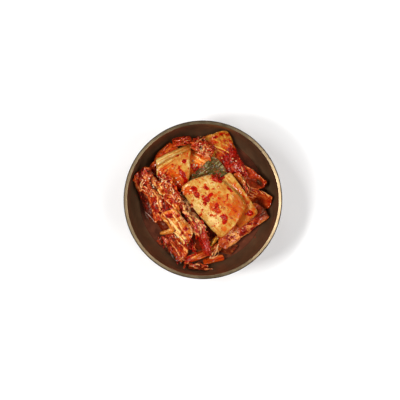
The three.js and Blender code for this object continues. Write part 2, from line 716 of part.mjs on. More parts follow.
laySheet('leaf_strip_pale', ORANGE_LEAF, {
  corners: [[4.5, -41], [2, -38.5], [11, -28], [14, -31]],
  thickness: 1.3, nu: 6, nv: 2, crown: 0.6,
});
laySheet('stem_front_under', PALE_STEM, {
  corners: [[0, 8], [22, 24], [46.5, -11], [30, -24]],
  thickness: 3, nu: 12, nv: 8, rounding: 0.12, crown: 1.2, stiffness: 40, thinEdge: 0.3,
}, [
  { x: 38.5, y: -11, length: 4.4, width: 4, heading: 0 },
]);
laySheet('stem_front', PALE_STEM, {
  corners: [[-22.5, 11], [7.5, 23.5], [39, -4.5], [15, -36]],
  thickness: 4.2, nu: 13, nv: 9, rounding: 0.45, crown: 2.8, stiffness: 60, thinEdge: 0.3, folds: 0.5,
  foldSize: 24,
}, [
  { x: 9.5, y: 16.5, length: 6.5, width: 4, heading: -15 },
  { x: -5.7, y: 4.3, length: 6.5, width: 3.6, heading: -60 },
  { x: 2.9, y: 0, length: 7.5, width: 4.2, heading: 50 },
  { x: 10.8, y: -8, length: 5.5, width: 3.4, heading: -40 },
  { x: 17, y: -15, length: 5.5, width: 4, heading: -50 },
]);
layTangle('shreds_hanging', RED_SHRED, {
  corners: [[-9, -19], [0, -14], [8, -42], [1, -46]],
  thickness: 1.3, nu: 7, nv: 2, folds: 0.5,
}, { seed: 7, count: 5, spread: 22, length: 15, width: 2.4, height: 2 });
layStrip('shred_pale', PALE_STEM, {
  start: new THREE.Vector2(-16, -9), end: new THREE.Vector2(-3, -30),
  width: 2, height: 1.8, bend: 2.2, steps: 8,
});

export default kimchi;
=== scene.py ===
"""Napa cabbage kimchi in a brass side-dish bowl: leaves, shreds, chilli flakes and brine.

Shapes are worked out in millimetres and written to the meshes in metres.
"""

import math
from itertools import product

import bmesh
import bpy
import numpy as np
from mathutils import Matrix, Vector
from mathutils.bvhtree import BVHTree


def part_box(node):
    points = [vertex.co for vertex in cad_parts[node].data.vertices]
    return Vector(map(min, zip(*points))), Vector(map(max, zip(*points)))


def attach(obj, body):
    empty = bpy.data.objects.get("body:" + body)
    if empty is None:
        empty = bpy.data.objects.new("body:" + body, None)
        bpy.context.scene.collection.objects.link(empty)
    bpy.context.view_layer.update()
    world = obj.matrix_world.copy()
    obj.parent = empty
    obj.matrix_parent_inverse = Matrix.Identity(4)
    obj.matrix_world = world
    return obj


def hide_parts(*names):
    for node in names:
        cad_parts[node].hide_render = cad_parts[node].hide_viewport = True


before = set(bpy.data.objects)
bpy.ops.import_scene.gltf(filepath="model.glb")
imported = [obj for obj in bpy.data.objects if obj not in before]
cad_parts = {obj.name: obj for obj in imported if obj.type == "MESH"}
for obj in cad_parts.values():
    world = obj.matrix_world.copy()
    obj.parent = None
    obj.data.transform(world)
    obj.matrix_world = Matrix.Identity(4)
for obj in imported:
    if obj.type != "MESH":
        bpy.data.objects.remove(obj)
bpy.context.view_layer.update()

MM = 0.001

# ---- sizes, in millimetres

RIM_RADIUS = 1000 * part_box("bowl")[1].x
BOWL_HEIGHT = 1000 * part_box("bowl")[1].z
BRINE_LEVEL = 1000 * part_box("brine")[1].z
LIP_WIDTH = 3.0
LIP_SLOPE = 0.26  # of the lip's flat top, down towards the middle
LIP_EDGE = 0.7  # radius of its rounded outer edge
WALL = 1.8
FLOOR_TOP = 4.0
FLOOR_UNDERSIDE = 2.0
FOOT_RADIUS = 30.0
FOOT_WIDTH = 3.0
LATHE_SIDES = 192
MENISCUS = 0.35  # how far the brine climbs the wall
BOWL_SQUARENESS = 3.2
INNER_RADIUS = RIM_RADIUS - LIP_WIDTH
CORE_RADIUS = 44.0

WELD = 0.005  # how near two CAD points are made one
VOXEL = 0.38  # of the fine leaves
HEAP_CELL, HEAP_CELLS = 0.5, 252  # the grid of the heap's upper surface, the same both ways
CEILING_CELL, CEILING_CELLS = 1.0, 128  # the grid of the space under the pieces above
CEILING_SHARE = 0.75  # how much of that space a fold may fill
CEILING_SLOPE = 0.4  # how much it may grow from a cell to the next
OPEN_HEIGHT = 9.0  # its height where nothing lies above

# ---- the photograph's view

IMAGE_WIDTH = 400.0  # pixels
BOWL_CENTRE = (202.9, 199.8)
BOWL_DIAMETER = 158.9
LENS = 100.0
SENSOR = 36.0


def srgb(red, green, blue):
    """A colour as it looks on a screen, from 0 to 255, as the linear colour that the shaders take."""
    values = [v / 255 for v in (red, green, blue)]
    linear = [v / 12.92 if v < 0.04045 else ((v + 0.055) / 1.055) ** 2.4 for v in values]
    return (*linear, 1.0)


# ---- noise and smooth steps


def lattice(cells, seed):
    """A repeatable value from -1 to 1 for each whole-numbered cell."""
    x, y, z = cells.astype(np.int64).T
    h = (x * 73856093) ^ (y * 19349663) ^ (z * 83492791) ^ (seed * 668265263)
    h = (h ^ (h >> 13)) & 0x7FFFFFFF
    h = (h * 1274126177) & 0x7FFFFFFF
    return ((h ^ (h >> 16)) & 0xFFFF) / 32767.5 - 1


def noise(points, size, seed=0):
    """Smooth noise from -1 to 1 whose lumps are of the given size, one number or one for each axis."""
    places = points / size
    cells = np.floor(places)
    part = places - cells
    weights = part * part * (3 - 2 * part)
    total = np.zeros(len(points))
    for corner in product((0, 1), repeat=3):
        share = np.prod(np.where(corner, weights, 1 - weights), axis=1)
        total += share * lattice(cells + corner, seed)
    return total


def fractal(points, size, seed):
    """Smooth noise from -1 to 1 with noise of half and a quarter of the size on it."""
    return sum(noise(points, size / 2**k, seed + k) / 2**k for k in range(3)) / 1.75


def ridged(points, size, seed=0):
    """Noise of narrow crests, from 0 between them to 1 on them."""
    return (1 - np.abs(noise(points, size, seed))) ** 3


def lumpy(points, size, seed=0):
    """Noise of rounded lumps up to 1 with sharp valleys at 0 between them."""
    return np.minimum(1, 2.2 * np.abs(noise(points, size, seed)))


def step(values, low, high):
    """Rises smoothly from 0 to 1 as the values go from low to high."""
    t = np.clip((values - low) / (high - low), 0, 1)
    return t * t * (3 - 2 * t)


def near_line(points, x0, y0, x1, y1, width, seed):
    """1 along a slightly wandering line, falling to 0 half its width away."""
    start, run = np.array([x0, y0]), np.array([x1 - x0, y1 - y0])
    wander = 0.35 * np.column_stack([noise(points, 4, seed), noise(points, 4, seed + 1)])
    offset = points[:, :2] + wander - start
    share = np.clip(offset @ run / (run @ run), 0, 1)
    distance = np.linalg.norm(offset - share[:, None] * run, axis=1)
    return step(-distance, -0.5 * width * (1.1 - 0.5 * np.abs(2 * share - 1) ** 3), -0.1 * width)


# ---- fine meshes as arrays


def bare_mesh(node):
    """A welded copy of a CAD node's mesh, in quads where two triangles make one."""
    shape = bmesh.new()
    shape.from_mesh(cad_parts[node].data)
    bmesh.ops.remove_doubles(shape, verts=shape.verts, dist=WELD * MM)
    limit = math.radians(50)
    bmesh.ops.join_triangles(
        shape, faces=shape.faces, angle_face_threshold=limit, angle_shape_threshold=limit
    )
    mesh = bpy.data.meshes.new(node + "_bare")
    shape.to_mesh(mesh)
    shape.free()
    return mesh


def placed(name, data):
    """A new object in the scene."""
    thing = bpy.data.objects.new(name, data)
    bpy.context.collection.objects.link(thing)
    return thing


def fine_mesh(node, voxel):
    """The node's mesh, rounded by subdivision and cut up into even small quads."""
    holder = placed("holder", bare_mesh(node))
    holder.modifiers.new("Subdivision", "SUBSURF").levels = 2
    remesh = holder.modifiers.new("Remesh", "REMESH")
    remesh.mode = "VOXEL"
    remesh.voxel_size = voxel * MM
    mesh = bpy.data.meshes.new_from_object(holder.evaluated_get(bpy.context.evaluated_depsgraph_get()))
    bpy.data.objects.remove(holder)
    return mesh


class Skin:
    """A fine mesh whose points are moved as an array, in millimetres."""

    def __init__(self, mesh):
        self.mesh = mesh
        values = np.empty(3 * len(mesh.vertices))
        mesh.vertices.foreach_get("co", values)
        self.points = 1000 * values.reshape(-1, 3)
        edges = np.empty(2 * len(mesh.edges), dtype=np.int64)
        mesh.edges.foreach_get("vertices", edges)
        self.starts, self.ends = edges.reshape(-1, 2).T
        self.degree = np.bincount(edges, minlength=len(self.points)).astype(float)

    def around(self, values):
        """The mean of each point's neighbours."""
        columns = np.atleast_2d(values.T)
        count = len(self.points)
        sums = np.array([np.bincount(self.starts, c[self.ends], count) for c in columns])
        sums += [np.bincount(self.ends, c[self.starts], count) for c in columns]
        return (sums / self.degree).T.reshape(values.shape)

    def blurred(self, values, passes):
        for _ in range(passes):
            values = 0.5 * (values + self.around(values))
        return values

    def write(self):
        self.mesh.vertices.foreach_set("co", MM * self.points.ravel())
        self.mesh.update()

    def normals(self):
        self.write()
        values = np.empty(3 * len(self.points), dtype=np.float32)
        self.mesh.vertices.foreach_get("normal", values)
        return values.reshape(-1, 3).astype(float)

    def relief(self, passes):
        """How far each point stands out of its surroundings, in millimetres."""
        return np.sum((self.points - self.blurred(self.points, passes)) * self.normals(), axis=1)

    def attributes(self, **values):
        """Gives the mesh a number at each point under each name."""
        for name, numbers in values.items():
            data = self.mesh.attributes.new(name, "FLOAT", "POINT").data
            data.foreach_set("value", numbers.astype(np.float32))

    def dressed(self, name, material, slot, node=None):
        """Makes the object, which stands for the CAD node if one is named."""
        self.write()
        add_piece(name, self.mesh, material, slot, node)


def add_piece(name, mesh, material, slot, node=None):
    """Adds a smooth object on the one body, in place of the CAD node if one is named."""
    mesh.materials.clear()
    mesh.materials.append(material)
    mesh.shade_smooth()
    piece = placed(name, mesh)
    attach(piece, "root")
    if node:
        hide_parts(node)


def mesh_from(name, points, faces):
    mesh = bpy.data.meshes.new(name)
    mesh.from_pydata((MM * np.asarray(points)).tolist(), [], faces)
    mesh.update()
    return mesh


def dress_toned(name, points, faces, tones, material, slot):
    """Makes a piece of many small ones, each with its tone."""
    skin = Skin(mesh_from(name + "_mesh", points, faces))
    skin.attributes(tone=np.array(tones))
    skin.dressed(name, material, slot)


# ---- materials

MIX_FIRST, MIX_SECOND, MIX_RESULT = 6, 7, 2  # a Mix node's sockets for colours


def feed(socket, value):
    """Links another node's output to a socket, or sets it to a number or a colour."""
    if isinstance(value, bpy.types.NodeSocket):
        socket.id_data.links.new(value, socket)
    else:
        socket.default_value = value


def add_node(tree, kind, inputs=(), **settings):
    """A new node with its settings made and its inputs fed, each by its name or number."""
    node = tree.nodes.new("ShaderNode" + kind)
    for name, value in settings.items():
        setattr(node, name, value)
    for key, value in dict(inputs).items():
        feed(node.inputs[key], value)
    return node


def spread(tree, value, low, high, to_low=0.0, to_high=1.0):
    """A smooth step from to_low to to_high as the value goes from low to high."""
    inputs = {"Value": value, "From Min": low, "From Max": high, "To Min": to_low, "To Max": to_high}
    return add_node(tree, "MapRange", inputs, interpolation_type="SMOOTHSTEP").outputs["Result"]


class Shader:
    """A material's node tree, with short ways to add what the kimchi and the bowl need."""

    def __init__(self, name):
        self.material = bpy.data.materials.new(name)
        self.material.use_nodes = True
        self.tree = self.material.node_tree
        self.surface = self.tree.nodes["Principled BSDF"]
        self.place = add_node(self.tree, "TexCoord").outputs["Object"]

    def feed(self, **values):
        """Feeds the surface's own sockets, named with _ for a space."""
        for name, value in values.items():
            feed(self.surface.inputs[name.replace("_", " ")], value)

    def attribute(self, name):
        return add_node(self.tree, "Attribute", attribute_name=name).outputs["Fac"]

    def noise(self, size, detail=3.0, place=None):
        """Noise from 0 to 1 with lumps of the given size in millimetres."""
        inputs = {"Vector": place or self.place, "Scale": 1 / (size * MM), "Detail": detail}
        return add_node(self.tree, "TexNoise", inputs).outputs["Fac"]

    def math(self, operation, *values):
        return add_node(self.tree, "Math", enumerate(values), operation=operation).outputs[0]

    def unsettled(self, value, noise, amount):
        """A value with noise added that takes it up or down by at most half the amount."""
        return self.math("ADD", value, self.math("MULTIPLY_ADD", noise, amount, -amount / 2))

    def spread(self, value, *limits):
        return spread(self.tree, value, *limits)

    def mixed(self, share, first, second):
        """One colour at share 0 and the other at share 1, each an output or as it looks on a screen."""
        first, second = (srgb(*c) if isinstance(c, tuple) else c for c in (first, second))
        inputs = {"Factor": share, MIX_FIRST: first, MIX_SECOND: second}
        return add_node(self.tree, "Mix", inputs, data_type="RGBA").outputs[MIX_RESULT]

    def bump(self, height, depth, strength=1.0):
        """Relief of the given depth in millimetres."""
        inputs = {"Strength": strength, "Distance": depth * MM, "Height": height}
        self.feed(Normal=add_node(self.tree, "Bump", inputs).outputs["Normal"])


def soft(weight, green, blue, depth):
    """The sockets of flesh that red light enters to a depth in millimetres, green and blue less far."""
    radius = (1.0, green, blue)
    return {"Subsurface_Weight": weight, "Subsurface_Radius": radius, "Subsurface_Scale": depth * MM}


GRAIN_SQUEEZE = 0.12  # along the grain, which makes it about eight times as long as wide


def kimchi_material(name, gloss, white, pale, stained, tinge, bright_red, deep_red, painted_shade=(52, 24, 14)):
    """Wet cabbage. The attribute stain takes the flesh from white at -1 over pale at 0 to stained at 1,
    paste covers it in red chilli paste, dark paints shade on it by mixing in the last colour, the
    shade of the inside of a fold, and along and across are a point's place in the piece's own grain,
    in millimetres."""
    shader = Shader(name)
    along = shader.math("MULTIPLY", shader.attribute("along"), GRAIN_SQUEEZE * MM)
    across = shader.math("MULTIPLY", shader.attribute("across"), MM)
    grain_place = add_node(shader.tree, "CombineXYZ", {"X": along, "Y": across}).outputs["Vector"]
    grain = shader.noise(0.9, place=grain_place)
    fine = shader.noise(0.9, detail=4.0)
    dark = shader.attribute("dark")

    stain = shader.unsettled(shader.attribute("stain"), shader.noise(2.6), 2.4)
    stain = shader.unsettled(stain, grain, 1.4)
    specks = shader.spread(shader.noise(1.1, detail=1.0), 0.62, 0.7, 0.0, 0.9)
    stain = shader.math("ADD", stain, specks)
    flesh = shader.mixed(shader.spread(stain, -0.9, 0.0), white, pale)
    flesh = shader.mixed(shader.spread(stain, 0.0, 1.0), flesh, stained)
    paste = shader.unsettled(shader.attribute("paste"), fine, 0.9)
    tinged = shader.mixed(shader.spread(paste, 0.05, 0.5), flesh, tinge)
    red = shader.mixed(shader.spread(shader.noise(1.8), 0.35, 0.65), deep_red, bright_red)
    wet = shader.mixed(shader.spread(paste, 0.42, 0.68), tinged, red)
    wetness = shader.spread(shader.noise(2.0), 0.42, 0.6, 0.2 * gloss, 0.8 * gloss)
    coat = shader.math("MULTIPLY", wetness, shader.spread(dark, 0.0, 0.5, 1.0, 0.25))
    relief = shader.math("MULTIPLY_ADD", shader.noise(0.5), 0.25, shader.noise(1.6))
    shader.bump(shader.math("MULTIPLY_ADD", grain, 0.5, relief), 0.3)
    # Painted shade: dark takes the colour over to the last colour, the shade inside a fold. Above, it
    # also thins the coat.
    shader.feed(Base_Color=shader.mixed(dark, wet, painted_shade), Coat_Weight=coat, Coat_Roughness=0.07,
                Coat_IOR=1.4, Roughness=shader.spread(fine, 0.3, 0.7, 0.15, 0.38),
                Specular_IOR_Level=0.2, Specular_Tint=(1.0, 0.62, 0.35, 1), **soft(0.25, 0.35, 0.1, 1.2))
    return shader.material


def finished(shader, colour, bump_size, bump_depth, **surface):
    """The shader's material, with its colour, fine relief and other sockets fed."""
    shader.bump(shader.noise(bump_size), bump_depth)
    shader.feed(Base_Color=colour, **{"Roughness": 0.3, **surface})
    return shader.material


def toned_material(name, size, amount, dark, light, *bump, **surface):
    """Wet small pieces, each of its own colour by the attribute tone, with noise of a size in it."""
    shader = Shader(name)
    tone = shader.unsettled(shader.attribute("tone"), shader.noise(size), amount)
    colour = shader.mixed(shader.spread(tone, 0, 1), dark, light)
    return finished(shader, colour, *bump, Specular_IOR_Level=0.12, **surface)


def clouded_material(name, size, dark, light, *bump, **surface):
    """One colour clouded with another by noise of a size."""
    shader = Shader(name)
    return finished(shader, shader.mixed(shader.noise(size), dark, light), *bump, **surface)


def brine_material():
    """Thin brine, dark red-brown with a little oil and chilli dust in it."""
    shader = Shader("brine")
    murk = shader.spread(shader.noise(5.0), 0.35, 0.7)
    colour = shader.mixed(murk, (98, 52, 36), (116, 64, 44))
    return finished(shader, colour, 2.4, 0.12, Roughness=0.08, IOR=1.34)


def bowl_material():
    """Aged brass: a bright rubbed lip with a dark line of painted shade on its outer edge, and a browner
    body with turning marks.
    """
    shader = Shader("aged_brass")
    lip = shader.attribute("lip")
    cloud = shader.spread(shader.noise(9.0), 0.3, 0.7)
    body = shader.mixed(cloud, (124, 90, 64), (138, 102, 72))
    rubbed = shader.mixed(cloud, (136, 117, 90), (150, 131, 102))
    # The dark colour on the lip's outer edge is painted shade.
    colour = shader.mixed(shader.attribute("tarnish"), shader.mixed(lip, body, rubbed), (44, 34, 25))
    satin = shader.spread(shader.noise(5.0), 0.3, 0.7, 0.42, 0.5)
    roughness = shader.math("SUBTRACT", satin, shader.math("MULTIPLY", lip, 0.14))
    shader.feed(Base_Color=colour, Roughness=roughness, Metallic=shader.spread(lip, 0.0, 0.6, 0.77, 1.0))
    x, y, height = add_node(shader.tree, "SeparateXYZ", {"Vector": shader.place}).outputs
    squares = [shader.math("POWER", side, 2.0) for side in (x, y)]
    radius = shader.math("SQRT", shader.math("ADD", *squares))
    turned = add_node(shader.tree, "CombineXYZ", {"X": radius, "Y": height}).outputs["Vector"]
    off_lip = shader.spread(lip, 0.0, 0.5, 1.0, 0.0)
    shader.bump(shader.math("MULTIPLY", shader.noise(0.9, place=turned), off_lip), 0.02, 0.6)
    return shader.material


# ---- bowl and brine


def bowl_curve(radius, depth, share):
    """A point (radius, height) of the bowl's curve, from the rim at share 0 to the middle at share 1."""
    turn = share * math.pi / 2
    power = 2 / BOWL_SQUARENESS
    return radius * max(0.0, math.cos(turn)) ** power, BOWL_HEIGHT - depth * math.sin(turn) ** power


def wall_height(radius):
    """The height of the bowl's inner surface."""
    share = np.clip(np.asarray(radius) / INNER_RADIUS, 0, 1)
    across = share ** (BOWL_SQUARENESS / 2)
    return BOWL_HEIGHT - (BOWL_HEIGHT - FLOOR_TOP) * (1 - across**2) ** (1 / BOWL_SQUARENESS)


def lathe(name, profile):
    """Turns a closed profile of (radius, height) round the axis. Points on the axis become one."""
    points, rings = [], []
    for radius, height in profile:
        turns = [2 * math.pi * k / LATHE_SIDES for k in range(LATHE_SIDES)] if radius > 0 else [0.0]
        rings.append(range(len(points), len(points) + len(turns)))
        points += [(radius * math.cos(t), radius * math.sin(t), height) for t in turns]
    faces = []
    for lower, upper in zip(rings, rings[1:] + rings[:1]):
        if len(lower) == 1 and len(upper) == 1:
            continue
        for k in range(LATHE_SIDES):
            corners = [lower[k % len(lower)], lower[(k + 1) % len(lower)],
                       upper[(k + 1) % len(upper)], upper[k % len(upper)]]
            faces.append(list(dict.fromkeys(corners)))
    return mesh_from(name, points, faces)


def make_bowl():
    steps = 36
    inner = [bowl_curve(INNER_RADIUS, BOWL_HEIGHT - FLOOR_TOP, k / steps) for k in range(2, steps)]
    outer = [bowl_curve(INNER_RADIUS + WALL, BOWL_HEIGHT - FLOOR_UNDERSIDE, k / steps)
             for k in range(3, steps)]
    outer = [(r, z) for r, z in reversed(outer) if r > FOOT_RADIUS + 2]
    edge, top = RIM_RADIUS - LIP_EDGE, BOWL_HEIGHT - LIP_EDGE
    turns = [math.pi / 2 * k / 6 for k in range(7)]
    lip = [(edge + LIP_EDGE * math.cos(t), top + LIP_EDGE * math.sin(t)) for t in turns]
    # Two rings near each end of the lip's flat top keep its shading even.
    lip += [(edge - r, BOWL_HEIGHT - LIP_SLOPE * r) for r in (0.25, 0.4, 1.8, 1.95)]
    low = BOWL_HEIGHT - LIP_SLOPE * 2
    lip += [(RIM_RADIUS - 2.85, low - 0.15), (RIM_RADIUS - 2.97, low - 0.5)]
    inside_foot = FOOT_RADIUS - FOOT_WIDTH
    profile = [
        (0, FLOOR_UNDERSIDE), (inside_foot - 1, FLOOR_UNDERSIDE), (inside_foot, FLOOR_UNDERSIDE - 0.6),
        (inside_foot + 0.2, 0.3), (inside_foot + 0.5, 0), (FOOT_RADIUS - 0.5, 0),
        (FOOT_RADIUS - 0.1, 0.3), (FOOT_RADIUS, FLOOR_UNDERSIDE),
        (FOOT_RADIUS + 0.6, FLOOR_UNDERSIDE + 1.1),
        *outer, (INNER_RADIUS + WALL, BOWL_HEIGHT - 1.7 * LIP_WIDTH),
        (INNER_RADIUS + WALL + 0.3, BOWL_HEIGHT - 1.3 * LIP_WIDTH), *lip, *inner, (0, FLOOR_TOP),
    ]
    skin = Skin(lathe("bowl_fine", profile))
    radius = np.hypot(skin.points[:, 0], skin.points[:, 1])
    height = skin.points[:, 2]
    rubbed = step(height, BOWL_HEIGHT - 1.6, BOWL_HEIGHT - 0.9)
    # A thin band on the lip's outer rounding gets painted shade.
    outside = step(radius, RIM_RADIUS - 1.0, RIM_RADIUS - 0.5)
    skin.attributes(lip=rubbed * (1 - outside), tarnish=rubbed * outside)
    skin.dressed("bowl_brass", bowl_material(), "brass", "bowl")


def make_brine():
    """The brine round the heap's core, with a low edge where it climbs the wall."""
    level = BRINE_LEVEL - MENISCUS
    inner = CORE_RADIUS - 4
    radii = np.linspace(inner, INNER_RADIUS, 400)
    outer = radii[np.argmax(wall_height(radii) > BRINE_LEVEL)] - 0.02
    meniscus = [(outer - 1.2 + 1.2 * s, level + MENISCUS * s**3) for s in np.linspace(0, 1, 6)]
    flat = [(r, level) for r in np.linspace(inner, outer - 1.4, 5)]
    below = [(r, float(wall_height(r)) + 0.3) for r in np.linspace(outer - 0.8, inner, 8)]
    profile = [*reversed(meniscus), *reversed(flat), *reversed(below)]
    add_piece("brine_pool", lathe("brine_fine", profile), brine_material(), "brine", "brine")


make_bowl()
make_brine()

# ---- leaves and stems

# Palettes: gloss, then white, pale, stained, tinge, bright red and deep red. RED adds its own colour of
# painted shade; the others use 52, 24, 14.
STEM = "pale_stem", kimchi_material(
    "pale_stem", 0.6, (222, 192, 124), (198, 148, 68), (178, 92, 22), (202, 84, 13),
    (184, 10, 2), (126, 4, 1))
ORANGE = "orange_leaf", kimchi_material(
    "orange_leaf", 1.0, (246, 206, 130), (212, 124, 38), (162, 60, 10), (194, 60, 9),
    (174, 12, 2), (94, 4, 1))
OLIVE = "orange_leaf", kimchi_material(
    "olive_leaf", 0.9, (224, 180, 80), (194, 130, 42), (134, 86, 22), (188, 60, 9),
    (166, 11, 2), (98, 4, 1))
RED = "red_leaf", kimchi_material(
    "red_leaf", 1.0, (236, 160, 88), (194, 76, 22), (138, 27, 6), (172, 38, 7),
    (160, 9, 2), (82, 3, 1), (74, 36, 18))
# Painted light: a lighter copy of the orange leaf for the middle leaf, which offsets the shade that the
# pieces above cast on it.
ORANGE_PAINTED_LIGHT = "orange_leaf", kimchi_material(
    "orange_leaf_painted_light", 1.0, (255, 216, 140), (244, 150, 56), (206, 84, 18), (226, 78, 13),
    (206, 16, 4), (130, 7, 2))
DARK = "dark_leaf", kimchi_material(
    "dark_leaf", 0.3, (184, 96, 46), (126, 42, 14), (88, 21, 6), (114, 30, 8),
    (118, 9, 3), (52, 4, 2))
GREEN = "green_leaf", kimchi_material(
    "green_leaf", 0.8, (150, 138, 92), (76, 62, 22), (44, 36, 10), (128, 54, 12),
    (120, 26, 7), (58, 20, 6))
CRUMPLED = "red_shred", ORANGE[1]

# Each piece: its material, the heading of its fibres in degrees, the height in millimetres of its
# grooves, of its folds and of its waviness at the edge, then how much stain and chilli paste it
# carries and how mottled it is.
PIECES = {
    "leaf_wall_left": (DARK, -60, 0.3, 1.6, 1.0, 0.6, 0.6, 0.5),
    "leaf_low_edge": (DARK, 0, 0.3, 0.8, 0.6, 0.3, 0.4, 0.3),
    "leaf_pale_low": (DARK, -35, 0.3, 0.8, 0.6, 0.2, 0.25, 0.3),
    "leaf_far_left": (ORANGE, 42, 0.6, 1.6, 1.2, 1.1, 0.42, 0.5),
    "leaf_scrap_left": (("dark_leaf", RED[1]), -60, 0.3, 1.8, 1.2, 0.5, 0.5, 0.5),
    "leaf_low_left": (RED, -57, 0.6, 2.4, 1.5, 0.5, 0.4, 0.4),
    "stem_low_short": (ORANGE, 12, 0.4, 0.3, 0.3, 0.9, 0.25, 0.3),
    "leaf_curl_lower": (RED, -30, 0.4, 0.5, 0.7, 0.3, 0.2, 0.2),
    "leaf_curl_upper": (RED, -42, 0.4, 0.5, 0.8, 0.5, 0.25, 0.2),
    "leaf_top": (OLIVE, -64, 0.3, 0.5, 0.8, 0.1, 0.06, 0.4),
    "leaf_middle": (ORANGE_PAINTED_LIGHT, -50, 0.2, 0.4, 0.4, 0.5, 0.25, 0.6),
    "leaf_green": (GREEN, 35, 0.4, 0.9, 0.6, 0.3, 0.0, 0.0),
    "stem_low_long": (ORANGE, 24, 0.5, 0.3, 0.3, 0.8, 0.25, 0.3),
    "leaf_under_front": (RED, 42, 0.3, 0.7, 1.2, 0.0, 0.08, 1.0),
    "stem_sliver": (ORANGE, -66, 0.5, 0.5, 0.4, 0.6, 0.3, 0.3),
    "stem_back_under": (STEM, 27, 0.5, 0.1, 0.3, -0.2, -0.05, 0.2),
    "stem_back": (STEM, 27, 0.2, 0.2, 0.4, 0.35, 0.0, 0.5),
    "leaf_tip_back": (RED, 12, 0.5, 2.0, 1.0, 0.6, 0.55, 0.3),
    "leaf_frilled": (RED, -62, 0.5, 3.0, 2.8, 0.2, 0.36, 0.5),
    "leaf_ribbed": (ORANGE, -50, 0.5, 0.6, 0.9, -0.3, 0.02, 0.5),
    "shreds_middle": (CRUMPLED, -55, 0.2, 2.6, 1.6, 0.5, 0.43, 0.8),
    "stem_finger": (ORANGE, 20, 0.3, 0.4, 0.3, 0.1, 0.1, 0.3),
    "leaf_strip_pale": (OLIVE, 55, 0.4, 0.2, 0.2, 0.9, 0.0, 0.2),
    "stem_front_under": (STEM, -50, 0.2, 0.1, 0.2, 0.1, -0.08, 0.4),
    "stem_front": (STEM, -51, 0.3, 0.2, 0.3, -0.15, -0.1, 0.6),
    "shred_pale": (ORANGE, -58, 0.1, 0.1, 0.2, -0.5, -0.1, 0.0),
}

